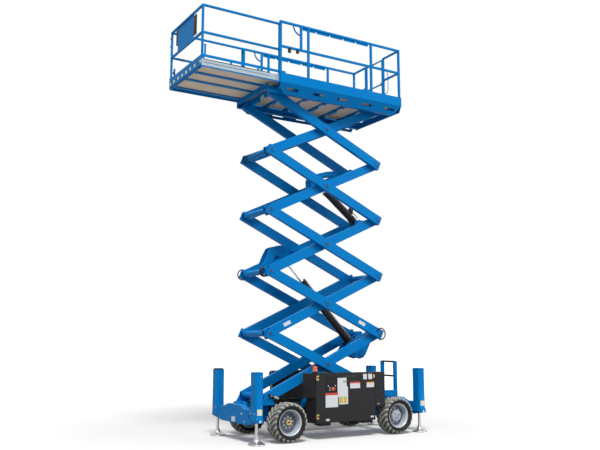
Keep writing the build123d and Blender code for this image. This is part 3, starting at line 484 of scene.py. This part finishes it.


# pin heads with a keeper bolt beside each on the outer faces, and collars inside the inner arms
head = {"rim": [(0.047, 0.0), (0.047, 0.006), (0.045, 0.0075), (0.030, 0.0075)],
        "end": [(0.030, 0.006), (0.028, 0.0105), (0.0, 0.0105)],
        "keeper": 0.078, "bolt": (0.010, 0.009)}
pinCollar = [(0.066, 0.0), (0.066, 0.012), (0.056, 0.016)]
for stage in range(1, 6):
    heads = Piece(f"pinHeads_{stage}", f"outer_arms_{stage}", blue, pinEnd)
    for s in (0.0, arm["length"] / 2, arm["length"]):
        if stage == 1 and s == 0.0:
            continue
        x, z = onArm("outer", stage, s)
        for side in (1, -1):
            face = side * arm["outFace"]
            for paint, part, steps in ((0, "rim", 40), (1, "end", 32)):
                heads.paint = paint
                heads.spun([(r, face + side * y) for r, y in head[part]], (x, 0, z), steps=steps)
            heads.paint = 0
            kx, kz = onArm("outer", stage, s + (head["keeper"] if s < 2 else -head["keeper"]))
            heads.bolt((kx, face, kz), (0, side, 0), *head["bolt"])
    heads.done(slot="blue_paint")
    inner = Piece(f"innerPins_{stage}", f"inner_arms_{stage}", blue)
    for s in (0.0, arm["length"]):
        x, z = onArm("inner", stage, s)
        for side in (1, -1):
            rows = [(r, side * (arm["inside"] - y)) for r, y in pinCollar]
            inner.spun(rows, (x, 0, z), steps=40)
    inner.done(slot="blue_paint")
print("pins")

# blank white labels on the outer faces of both arms of stage 2
armLabel = {"stage": 2, "long": 0.15, "tall": 0.062, "lift": 0.0002, "thick": 0.0006,
            "outer": (0.46, arm["outFace"]), "inner": (0.42, arm["inFace"])}
for kind in ("outer", "inner"):
    s, face = armLabel[kind]
    label = Piece(f"armDecal_{kind}", f"{kind}_arms_{armLabel['stage']}", whiteLabel)
    halfLong, halfTall = armLabel["long"] / 2, armLabel["tall"] / 2
    corners = [onArm(kind, armLabel["stage"], s + a * halfLong, b * halfTall)
               for a, b in ((-1, -1), (1, -1), (1, 1), (-1, 1))]
    low = face + armLabel["lift"]
    label.plate(corners, low, low + armLabel["thick"])
    label.done()

# jacks: cap on the far front tube, bolted tops, guide collars, blank plates
jack = {"front": 1.730, "rear": -1.715, "y": 0.740,
        "face": 0.8427, "beamEnd": 0.8682, "flange": 0.0752,
        "lid": {"half": (0.052, 0.078), "zs": (1.158, 1.168), "rounding": 0.004, "bolts": 1.167},
        "cap": {"half": (0.060, 0.088), "zs": (1.157, 1.184), "rounding": 0.006, "bolts": 1.184},
        "lidBolts": ((-0.036, 0.036), (-0.060, 0.060)), "faceScrews": (-0.030, (1.10, 0.62)),
        "facePlate": (0.046, (0.478, 0.556)), "band": (0.046, (0.556, 0.572)),
        "endPlate": (0.016, (0.360, 0.400)),
        "flangePlates": ((-0.070, 0.062), 0.009, (0.494, 0.512))}
collarProfile = [(0.027, 0.374), (0.046, 0.374), (0.050, 0.369), (0.050, 0.356), (0.046, 0.352),
                 (0.0262, 0.352)]


for end, ahead in ends.items():
    x = jack[end]
    for side, s in sides.items():
        y = s * jack["y"]
        capped = (end, side) == ("front", "right")
        top = Piece(f"jackTop_{end}_{side}", "chassis", matteBlack if capped else blue, steel,
                    creamLabel, yellowPatch, whiteLabel)
        for cover in [jack["lid"], jack["cap"]][:2 if capped else 1]:
            top.box(around(x, cover["half"][0]), around(y, cover["half"][1]), cover["zs"],
                    cover["rounding"])
        top.paint = 1
        for dx in jack["lidBolts"][0]:
            for dy in jack["lidBolts"][1]:
                top.bolt((x + dx, y + dy, cover["bolts"]), (0, 0, 1), 0.007, 0.006)
        dx, zs = jack["faceScrews"]
        for z in zs:
            top.bolt((x + dx, s * jack["face"], z), (0, s, 0), 0.006, 0.004, False)
        for paint, face, (half, zs), depth in ((2, jack["face"], jack["facePlate"], 0.0009),
                                               (2, jack["beamEnd"], jack["endPlate"], 0.0008),
                                               (3, jack["face"], jack["band"], 0.0010)):
            top.paint = paint
            top.box(around(x, half), skin(face, s, depth), zs)
        top.paint = 4
        shifts, half, zs = jack["flangePlates"]
        for dy in shifts:
            xs = sorted((x + ahead * jack["flange"], x + ahead * (jack["flange"] + 0.0009)))
            top.box(xs, around(y + dy, half), zs)
        top.done()
        collar = Piece(f"jackCollar_{end}_{side}", "chassis", steel)
        collar.spun(collarProfile, (x, y, 0), "Z", 40)
        collar.done()

# front and rear beams: blank plates and bolts on their outer faces
beam = {"front": 1.785, "rear": -1.770, "bolt": (0.010, 0.007),
        "plates": (((-0.075, 0.062), (0.315, 0.400)), ((0.845, 0.861), (0.420, 0.436)),
                   ((0.385, 0.412), (0.335, 0.358)), ((0.275, 0.318), (0.455, 0.480))),
        "bolts": ((0.612, 0.478), (0.512, 0.500), (0.470, 0.330))}
for end, ahead in ends.items():
    x = beam[end]
    signs = Piece(f"beamPlates_{end}", "chassis", whiteLabel, blue)
    for ys, zs in beam["plates"]:
        signs.box(sorted((x + ahead * 0.0002, x + ahead * 0.0010)), ys, zs)
    signs.paint = 1
    for s in (1, -1):
        for y, z in beam["bolts"]:
            signs.bolt((x, s * y, z), (ahead, 0, 0), *beam["bolt"])
    signs.done()
print("jacks and beams")

# control side door: control panel, blank plates, breaker dots, hinges and latch
doorFace = 0.820
panel = {"xs": (0.185, 0.416), "zs": (0.789, 1.050), "edge": 0.008,
         "window": ((0.222, 0.380), (0.925, 1.020)), "stop": (0.275, 0.851),
         "buttons": ((0.345, 0.870), (0.345, 0.832), (0.232, 0.905), (0.375, 0.905)),
         "white": (((0.173, 0.431), (0.542, 0.747)), ((-0.302, -0.087), (0.849, 0.935)),
                   ((-0.455, -0.372), (0.998, 1.091)), ((-0.570, -0.487), (0.998, 1.091)),
                   ((-0.612, -0.447), (0.856, 0.930)), ((0.352, 0.424), (0.318, 0.352)),
                   ((-0.596, -0.530), (0.328, 0.358))),
         "chart": ((0.189, 1.036), (-0.010, 1.036), (-0.010, 0.900), (-0.039, 0.870),
                   (-0.039, 0.583), (0.150, 0.583), (0.150, 0.700), (0.189, 0.740)),
         "red": (((0.173, 0.431), (0.747, 0.789)), ((-0.302, -0.087), (0.935, 0.960))),
         "orange": ((-0.612, -0.447), (0.930, 0.949)), "dots": (8, 0.046, 0.036, (1.062, 0.972))}
square = {"x": (0.020, 0.108), "half": 0.034, "zs": (0.600, 0.712), "disc": (0.026, 0.664),
          "patch": (0.020, (0.612, 0.640))}
hinge = {"z": (1.045, 0.395), "leaf": (0.566, 0.618), "leafAt": 0.026, "leafHalf": 0.014,
         "thick": 0.004, "bolt": 0.582, "pin": (0.612, 0.040, 0.007)}
lock = {"xs": (-0.628, -0.590), "zs": (1.020, 1.075), "thick": 0.006, "key": (-0.609, 1.047)}
door = Piece("controlPanel", "control_door", matteBlack, whiteLabel, orangeBand, redBand, brass,
             steel, yellowPatch, greenPatch)
(left, right), (low, high), edge = panel["xs"], panel["zs"], panel["edge"]
for xs, zs in (((left, right), (high - edge, high)), ((left, right), (low, low + edge)),
               ((left, left + edge), (low + edge, high - edge)),
               ((right - edge, right), (low + edge, high - edge))):
    door.box(xs, (doorFace, doorFace + 0.006), zs, 0.0015, 1)
door.box((left + edge, right - edge), skin(doorFace, 1, 0.0012), (low + edge, high - edge))
door.box(panel["window"][0], (doorFace + 0.001, doorFace + 0.004), panel["window"][1], 0.001, 1)


def turnedOn(rows, x, z, steps):   # a turned part that stands on the door's face
    door.spun([(r, doorFace + y) for r, y in rows], (x, 0, z), steps=steps)


door.paint = 6
turnedOn([(0.029, 0.0), (0.029, 0.004), (0.0, 0.004)], *panel["stop"], 36)
door.paint = 3
turnedOn([(0.014, 0.004), (0.014, 0.018), (0.027, 0.020), (0.027, 0.030), (0.020, 0.034),
          (0.0, 0.035)], *panel["stop"], 36)
door.paint = 5
for x, z in panel["buttons"]:
    turnedOn([(0.011, 0.0), (0.011, 0.006), (0.007, 0.008), (0.0, 0.008)], x, z, 24)
door.paint = 1
for xs, zs in panel["white"]:
    door.box(xs, skin(doorFace, 1, 0.0012), zs)
door.plate(panel["chart"], doorFace, doorFace + 0.0012)
door.paint = 3
for xs, zs in panel["red"]:
    door.box(xs, skin(doorFace, 1, 0.0014), zs)
door.paint = 2
door.box(panel["orange"][0], skin(doorFace, 1, 0.0014), panel["orange"][1])
for x in square["x"]:
    door.paint = 7
    door.box(around(x, square["half"]), (doorFace + 0.0012, doorFace + 0.0016), square["zs"])
    door.paint = 2
    turnedOn([(square["disc"][0], 0.0018), (0.0, 0.0020)], x, square["disc"][1], 30)
    half, zs = square["patch"]
    door.box(around(x, half), (doorFace + 0.0016, doorFace + 0.0020), zs)
count, first, gap, rows = panel["dots"]
for i in range(count):
    for z in rows:
        x = first - i * gap
        door.paint = 0
        turnedOn([(0.013, 0.0), (0.013, 0.002), (0.009, 0.0025), (0.0, 0.0025)], x, z, 20)
        door.paint = 5
        turnedOn([(0.0042, 0.002), (0.003, 0.004), (0.0, 0.004)], x, z, 12)
door.paint = 4
leaf = doorFace + hinge["thick"]
pinX, pinHalf, pinRadius = hinge["pin"]
for z in hinge["z"]:
    for dz in (-hinge["leafAt"], hinge["leafAt"]):
        door.box(hinge["leaf"], (doorFace, leaf), around(z + dz, hinge["leafHalf"]), 0.0015, 1)
        door.bolt((hinge["bolt"], leaf, z + dz), (0, 1, 0), 0.006, 0.004, False)
    door.rod((pinX, leaf, z - pinHalf), (pinX, leaf, z + pinHalf), pinRadius, 20)
door.box(lock["xs"], skin(doorFace, 1, lock["thick"]), lock["zs"], 0.002, 1)
turnedOn([(0.014, 0.006), (0.014, 0.012), (0.0, 0.013)], *lock["key"], 24)
door.done()

# both modules: blue steel behind the air slots with a dark lip over each, and rows of screws
module = {"slots": (0.722, 0.797, 0.872, 0.947, 1.022), "screw": (0.0065, 0.005),
          "lowScrews": ((-0.690, 0.56), (-0.725, 0.56)),
          "highScrews": ((-0.700, 0.70), (-0.700, 0.84), (-0.700, 0.98)),
          "lid": (0.74, 1.118), "lidScrews": (-0.75, -0.30, 0.15, 0.50)}
for side, s in sides.items():
    vents = Piece(f"ventInside_{side}", "chassis", blue, matteBlack)
    vents.box((-0.838, -0.775), skin(0.800, s, 0.008), (0.705, 1.060))
    vents.paint = 1
    for z in module["slots"]:
        vents.box((-0.846, -0.764), skin(0.8195, s, 0.004), (z + 0.020, z + 0.027), 0.0015, 1)
    vents.done()
    trim = Piece(f"moduleTrim_{side}", "chassis", steel)
    for low in module["lowScrews"]:    # the high screws are laid twice, and look dark for it
        for x, z in (low, *module["highScrews"]):
            trim.bolt((x, s * doorFace, z), (0, s, 0), *module["screw"])
    for x in module["lidScrews"]:
        trim.bolt((x, s * module["lid"][0], module["lid"][1]), (0, 0, 1), *module["screw"])
    trim.done()

# engine side door: hinges, latch, blank plates and a grille
enginePlates = [(1, (0.20, 0.40), 0.0012, (0.82, 0.98)), (1, (-0.35, -0.20), 0.0012, (0.90, 1.00)),
                (2, (0.20, 0.40), 0.0014, (0.98, 1.01))]   # paint, xs, depth, zs
grille = {"count": 9, "low": 0.45, "gap": 0.032, "tall": 0.010}
other = Piece("engineDoorFittings", "engine_door", brass, whiteLabel, orangeBand, matteBlack)
for z in hinge["z"]:
    other.box((0.560, 0.618), skin(doorFace, -1, 0.005), around(z, 0.032), 0.0015, 1)
other.box(lock["xs"], skin(doorFace, -1, lock["thick"]), lock["zs"], 0.002, 1)
for paint, xs, depth, zs in enginePlates:
    other.paint = paint
    other.box(xs, skin(doorFace, -1, depth), zs)
other.paint = 3
for i in range(grille["count"]):
    z = grille["low"] + i * grille["gap"]
    other.box((-0.20, 0.20), skin(doorFace, -1, 0.005), (z, z + grille["tall"]), 0.0015, 1)
other.done()

# beacon: dark foot and a double amber dome
beaconShape = {"spot": (0.568, 0.700, 1.1183),
               "foot": [(0.0, 0.0), (0.048, 0.0), (0.048, 0.012), (0.044, 0.016), (0.032, 0.018),
                        (0.030, 0.030)],
               "domes": [(0.030, 0.030), (0.041, 0.034), (0.042, 0.064), (0.038, 0.072),
                         (0.031, 0.076), (0.031, 0.080), (0.037, 0.084), (0.038, 0.106),
                         (0.034, 0.117), (0.022, 0.124), (0.0, 0.1275)]}
beacon = Piece("beaconLens", "chassis", matteBlack, amber)
for paint, part in enumerate(("foot", "domes")):
    beacon.paint = paint
    beacon.spun(beaconShape[part], beaconShape["spot"], "Z", 48)
beacon.done(replaces=["beacon"], slot="amber")
print("module details")

# cylinders: end bands, valve block with its plug, two thin pipes and a hose along each barrel
cylinders = {"lower": {"base": (1, 2.317, -0.290), "eye": (3, 0.573, 0.228), "barrel": 1.84},
             "upper": {"base": (3, 2.443, 0.056), "eye": (4, 1.431, 0.200), "barrel": 0.90}}
band = {"radius": 0.0745, "foot": (0.10, 0.16), "gland": (-0.060, 0.004),
        "wiper": (0.003, 0.010, 0.045)}
block = {"at": (0.24, 0.090), "xs": (-0.050, 0.035), "ys": (-0.040, 0.040), "zs": (-0.045, 0.055),
         "plug": (-0.005, 0.095, 0.020)}
pipe = {"y": (-0.020, 0.020), "from": 0.26, "to": -0.07, "off": 0.076, "radius": 0.0055,
        "end": (-0.055, 0.070, 0.010)}
barrelHose = {"radius": 0.008, "bends": ((0.20, 0.100, 0.025), (0.15, 0.098, 0.040),
                                         (0.09, 0.088, 0.055), (0.05, 0.070, 0.060))}
for which, cylinder in cylinders.items():
    (x0, z0), (x1, z1) = onArm("inner", *cylinder["base"]), onArm("inner", *cylinder["eye"])
    long, body = math.hypot(x1 - x0, z1 - z0), cylinder["barrel"]
    cx, cz = (x1 - x0) / long, (z1 - z0) / long

    def at(s, n, y=0.0):           # s along the barrel from its pin, n square to it
        return x0 + s * cx - n * cz, y, z0 + s * cz + n * cx

    fit = Piece(f"{which}Fittings", f"{which}_barrel", matteBlack, steel, hoseRubber)
    for s0, s1 in ([body + shift for shift in band["gland"]], band["foot"]):
        fit.rod(at(s0, 0), at(s1, 0), band["radius"], 40)
    bx, _, bz = at(*block["at"])
    fit.box([bx + dx for dx in block["xs"]], block["ys"], [bz + dz for dz in block["zs"]], 0.004)
    dx, high, radius = block["plug"]
    fit.rod((bx + dx, 0.0, bz + block["zs"][1] - 0.005), (bx + dx, 0.0, bz + high), radius, 24)
    fit.paint = 1
    s0, s1, radius = band["wiper"]
    fit.rod(at(body + s0, 0), at(body + s1, 0), radius, 32)
    for y in pipe["y"]:
        foot, top = at(pipe["from"], pipe["off"], y), at(body + pipe["to"], pipe["off"], y)
        fit.rod(foot, top, pipe["radius"], 12)
        fit.rod(top, at(body + pipe["end"][0], pipe["end"][1], y), pipe["end"][2], 12)
    fit.paint = 2
    fit.hose([at(*row) for row in barrelHose["bends"]], barrelHose["radius"])
    fit.done()
print("cylinders")

# hoses clipped inside the near inner arms, and their loops round the end pins
armHose = {"stages": (1, 3, 5), "y": (0.356, 0.334), "off": 0.066, "radius": 0.0085,
           "stops": (0.16, 0.80, 1.16, 1.42, 1.80, 2.43)}
for stage in armHose["stages"]:
    run = Piece(f"armHose_{stage}", f"inner_arms_{stage}", hoseRubber)
    places = [onArm("inner", stage, s, armHose["off"]) for s in armHose["stops"]]
    for y in armHose["y"]:
        run.hose([(x, y, z) for x, z in places], armHose["radius"])
    run.done()

pinLoops = {                   # body, pin, y, loop radius, first and last turn, hose radius
    "farFrontLoop": ("outer_arms_2", ("inner", 3, 0.0), -0.551, 0.094, (-150, 150), 0.011),
    "nearFrontLoop": ("inner_arms_3", ("inner", 3, 0.0), 0.320, 0.080, (-160, 110), 0.013),
    "nearFrontLoop2": ("inner_arms_3", ("inner", 3, 0.0), 0.288, 0.084, (-120, 150), 0.013),
    "rearLoop": ("outer_arms_2", ("outer", 2, 0.0), 0.551, 0.105, (40, 320), 0.011),
    "farTopStub": ("inner_arms_5", ("inner", 5, 0.0), -0.330, 0.070, (-140, 60), 0.0085)}
for name, (body, pin, y, radius, (first, last), thick) in pinLoops.items():
    loop = Piece(name, body, hoseRubber)
    x, z = onArm(*pin)
    turns = [math.radians(first + (last - first) * i / 8) for i in range(9)]
    loop.hose([(x + radius * math.cos(t), y, z + radius * math.sin(t)) for t in turns], thick)
    loop.done()
print("hoses")

# between the front rails: dark tank and lid, black sheets on the rails' outer faces that stand in for
# the shade there (painted shade), hoses, and the axle's short cylinders
bayShape = {"tank": ((0.560, 1.235), (-0.250, 0.250), (0.430, 0.672)),
            "lid": ((0.700, 0.860), (-0.120, 0.060), (0.670, 0.705)), "filler": (1.060, -0.120),
            # cover: black sheets on the rails' outer faces, painted shade where the rails lie in
            # shadow
            "cover": ((0.640, 1.290), (0.3450, 0.006), (0.4020, 0.6020)),
            "hoses": {"count": 4, "y": 0.10, "gap": 0.045, "radius": 0.010}}
shortCylinder = {"y": 0.502, "eye": (0.452, 0.534, (1.360, 0.766), 0.020),
                 "rods": ((4, (1.180, 0.694), (1.300, 0.742), 0.028, 32),
                          (3, (1.300, 0.742), (1.352, 0.763), 0.014, 24),
                          (1, (1.172, 0.691), (1.196, 0.700), 0.032, 32),
                          (1, (1.288, 0.737), (1.306, 0.744), 0.032, 32))}
bay = Piece("frontBay", "chassis", black, matteBlack, hoseRubber, steel, padSteel)
bay.box(*bayShape["tank"], 0.010)
bay.paint = 1
bay.box(*bayShape["lid"], 0.006)
bay.rod((*bayShape["filler"], 0.670), (*bayShape["filler"], 0.705), 0.045, 32)
shadeSheetX, cover, shadeSheetZ = bayShape["cover"]
for side in (1, -1):
    bay.paint = 0
    # a black sheet on the rail's outer face: painted shade
    bay.box(shadeSheetX, skin(cover[0], side, cover[1]), shadeSheetZ, 0.002, 1)
    y = side * shortCylinder["y"]
    for paint, (x0, z0), (x1, z1), radius, facets in shortCylinder["rods"]:
        bay.paint = paint
        bay.rod((x0, y, z0), (x1, y, z1), radius, facets)
    y0, y1, (x, z), radius = shortCylinder["eye"]
    bay.rod((x, side * y0, z), (x, side * y1, z), radius, 28)
bay.paint = 2
bayHoses = bayShape["hoses"]
for i in range(bayHoses["count"]):
    y = bayHoses["y"] + bayHoses["gap"] * i
    bay.hose([(0.98, y, 0.665), (1.00, y + 0.01, 0.760 + 0.012 * i),
              (1.12, y + 0.015, 0.800 + 0.01 * i), (1.215, y + 0.01, 0.740), (1.225, y, 0.660)],
             bayHoses["radius"])
bay.done()

grip = {"xs": (-1.532, -1.468), "ys": (-0.045, 0.280), "treads": (1.005, 1.275),
        "zs": (-0.004, 0.018)}
grips = Piece("ladderGrips", "chassis", matteBlack)
for z in grip["treads"]:
    grips.box(grip["xs"], grip["ys"], [z + dz for dz in grip["zs"]], 0.003)
grips.done()

# the extension's front: round patches on the toe board, dark plate, latch and hinge posts
patch = {"face": 2.835, "z": 6.336, "yellow": (0, 1, 7),
         "profile": ((0.030, 0.0), (0.028, 0.0012), (0.0, 0.0014)),
         "y": (0.679, 0.445, 0.253, 0.070, -0.111, -0.297, -0.494, -0.676)}
front = Piece("toePatches", "extension", yellowPatch, creamPatch)
profile = [(r, patch["face"] + depth) for r, depth in patch["profile"]]
for i, y in enumerate(patch["y"]):
    front.paint = 0 if i in patch["yellow"] else 1
    front.spun(profile, (0, y, patch["z"]), "X", 28)
front.done()

post = {"x": 2.752, "y": 0.690, "zs": (6.455, 6.640), "radius": 0.016, "knob": (0.012, 0.021),
        "bolt": (2.768, 6.50)}
chartPlate = {"box": ((2.800, 2.812), (0.300, 0.430), (6.925, 7.285)),
              "hooks": ((2.796, 2.816), (0.335, 0.395), 0.012, (7.278, 7.296))}
postClip = {"stop": ((2.762, 2.790), (-0.676, -0.650), (6.545, 6.590)), "xs": (2.790, 2.834),
            "ys": (-0.734, -0.708), "z": (7.238, 7.086), "half": 0.014}
fittings = Piece("extensionFittings", "extension", matteBlack, blue, steel)
fittings.box(*chartPlate["box"], 0.003)
hookX, hookY, half, hookZ = chartPlate["hooks"]
for y in hookY:
    fittings.box(hookX, around(y, half), hookZ, 0.002, 1)
fittings.paint = 1
foot, top = post["zs"]
for y in (-post["y"], post["y"]):
    fittings.rod((post["x"], y, foot), (post["x"], y, top), post["radius"], 24)
    fittings.rod((post["x"], y, top), (post["x"], y, top + post["knob"][0]), post["knob"][1], 24)
fittings.paint = 2
for y in (-post["y"], post["y"]):
    fittings.bolt((post["bolt"][0], y, post["bolt"][1]), (1, 0, 0), 0.007, 0.006)
fittings.paint = 0
fittings.box(*postClip["stop"], 0.003)
for z in postClip["z"]:
    fittings.box(postClip["xs"], postClip["ys"], around(z, postClip["half"]), 0.003)
fittings.done()

gateParts = {"latch": ((-1.412, -1.396), (0.150, 0.228), (6.838, 6.902)),
             "tongue": ((-1.408, -1.396), (0.060, 0.152), (6.858, 6.880)),
             "bolt": (-1.412, 0.190, 6.870)}
latch = Piece("gateLatch", "entry_gate", matteBlack, steel)
latch.box(*gateParts["latch"], 0.003)
latch.box(*gateParts["tongue"], 0.002, 1)
latch.paint = 1
latch.bolt(gateParts["bolt"], (-1, 0, 0), 0.007, 0.005)
latch.done()

# sliding rails: two black lines, painted shade of the gap under the rail's top and of a groove, and a
# raised bead of the rail's alloy on each outer face
rail = {"xs": (1.52, 2.79), "face": 0.725, "top": 6.383,
        "strips": ((0, 0.0012, (0.013, 0.0), 0), (0, 0.0008, (0.066, 0.061), 0),
                   (1, 0.0030, (0.056, 0.048), 0.001))}   # paint, depth, below the top, rounding
railShadeAndBead = Piece("railShadeAndBead", "extension", matteBlack, alloy)
for side in (1, -1):
    for paint, depth, (low, high), width in rail["strips"]:
        # the paint 0 strips are painted shade: the shadow gap under the top and the shade in a groove
        railShadeAndBead.paint = paint
        zs = (rail["top"] - low, rail["top"] - high)
        railShadeAndBead.box(rail["xs"], skin(rail["face"], side, depth), zs, width, 1)
railShadeAndBead.done()

# clips on the middle rail, and the thin handle loop beside the gate
clip = {"places": ((1.129, 6.844), (0.960, 6.862)), "half": 0.026, "ys": (0.7345, 0.7765),
        "top": 6.905}
handle = {"x": -1.381, "radius": 0.008,
          "bends": ((0.385, 7.046), (0.400, 7.020), (0.412, 6.960), (0.415, 6.830), (0.412, 6.690),
                    (0.400, 6.640), (0.360, 6.618), (0.310, 6.616))}
clips = Piece("midRailClips", "platform", matteBlack, steel, blue)
for x, z in clip["places"]:
    clips.paint = 0
    clips.box(around(x, clip["half"]), clip["ys"], (z - 0.024, clip["top"]), 0.004)
    clips.paint = 1
    clips.bolt((x, clip["ys"][1], z), (0, 1, 0), 0.007, 0.004, False)
clips.paint = 2
clips.hose([(handle["x"], y, z) for y, z in handle["bends"]], handle["radius"])
clips.done()
print("platform fittings")

# floor, soft lamps, camera
room = {"world": 0.36, "seen": 1.0, "floorSize": 400.0, "floorDim": (0.36, 0.36, 0.36),
        "floorSeen": (0.77, 0.757, 0.752), "glow": 0.09, "farGlow": 0.75, "farFrom": 3.5,
        "farTo": 16.0}
lamps = {"keyLamp": {"place": (12.0, 22.0, 38.0), "aim": (0, 0, 2.0), "size": 18.0, "power": 20000},
         "fillLamp": {"place": (-12.0, 12.0, 7.0), "aim": (0, 0, 2.5), "size": 8.0, "power": 500}}
view = {"place": (7.128, 11.748, 1.716), "turn": 0.548, "rise": 0.152, "focal": 741.5, "width": 600,
        "sensor": 36.0}


def lookedAt(tree):            # 1 for rays from the camera, off metal and through glass
    path = tree.nodes.new("ShaderNodeLightPath")
    camera, glossy, through = (Shade(tree, path.outputs[f"Is {kind} Ray"])
                               for kind in ("Camera", "Glossy", "Transmission"))
    return camera.atLeast(glossy).atLeast(through)


world = bpy.data.worlds.new("paleRoom")
bpy.context.scene.world = world
world.use_nodes = True
tree = world.node_tree
tree.nodes.clear()
out, mix = tree.nodes.new("ShaderNodeOutputWorld"), tree.nodes.new("ShaderNodeMixShader")
tree.links.new(lookedAt(tree).socket, mix.inputs[0])
for place, strength in ((1, room["world"]), (2, room["seen"])):
    sky = tree.nodes.new("ShaderNodeBackground")
    sky.inputs["Strength"].default_value = strength
    sky.inputs["Color"].default_value = (1, 1, 1, 1)
    tree.links.new(sky.outputs[0], mix.inputs[place])
tree.links.new(mix.outputs[0], out.inputs[0])

bm = bmesh.new()
bmesh.ops.create_circle(bm, cap_ends=True, segments=64, radius=room["floorSize"])
paleFloor = Finish("paleFloor", room["floorDim"], 0.95, Specular_IOR_Level=0.0)
floor = shown("floor", bm, 35.0, [paleFloor.material])
tree, seen = paleFloor.tree, lookedAt(paleFloor.tree)
paleFloor.feed("Base Color", paleFloor.mix(seen, room["floorDim"], room["floorSeen"]))
distance = paleFloor.node("VectorMath", {"operation": "LENGTH"}, "Value", Vector=paleFloor.place())
far = distance.ramp(room["farFrom"], room["farTo"])
glow, add = tree.nodes.new("ShaderNodeEmission"), tree.nodes.new("ShaderNodeAddShader")
strength = seen * (far * room["farGlow"] + room["glow"])
tree.links.new(strength.socket, glow.inputs["Strength"])
tree.links.new(paleFloor.shader.outputs[0], add.inputs[0])
tree.links.new(glow.outputs[0], add.inputs[1])
tree.links.new(add.outputs[0], tree.nodes["Material Output"].inputs[0])

for name, row in lamps.items():
    lamp = bpy.data.objects.new(name, bpy.data.lights.new(name, "AREA"))
    lamp.data.shape, lamp.data.size, lamp.data.energy = "DISK", row["size"], row["power"]
    lamp.location = row["place"]
    ahead = Vector(row["aim"]) - Vector(row["place"])
    lamp.rotation_euler = ahead.to_track_quat("-Z", "Y").to_euler()
    bpy.context.scene.collection.objects.link(lamp)

camera = bpy.data.objects.new("camera", bpy.data.cameras.new("camera"))
camera.location = view["place"]
camera.rotation_euler = (math.pi / 2 + view["rise"], 0, math.pi - view["turn"])
camera.data.sensor_width = view["sensor"]
camera.data.lens = view["sensor"] * view["focal"] / view["width"]
bpy.context.scene.collection.objects.link(camera)
bpy.context.scene.camera = camera
bpy.context.scene.view_settings.view_transform = "Standard"
print("stage, lamps and camera")
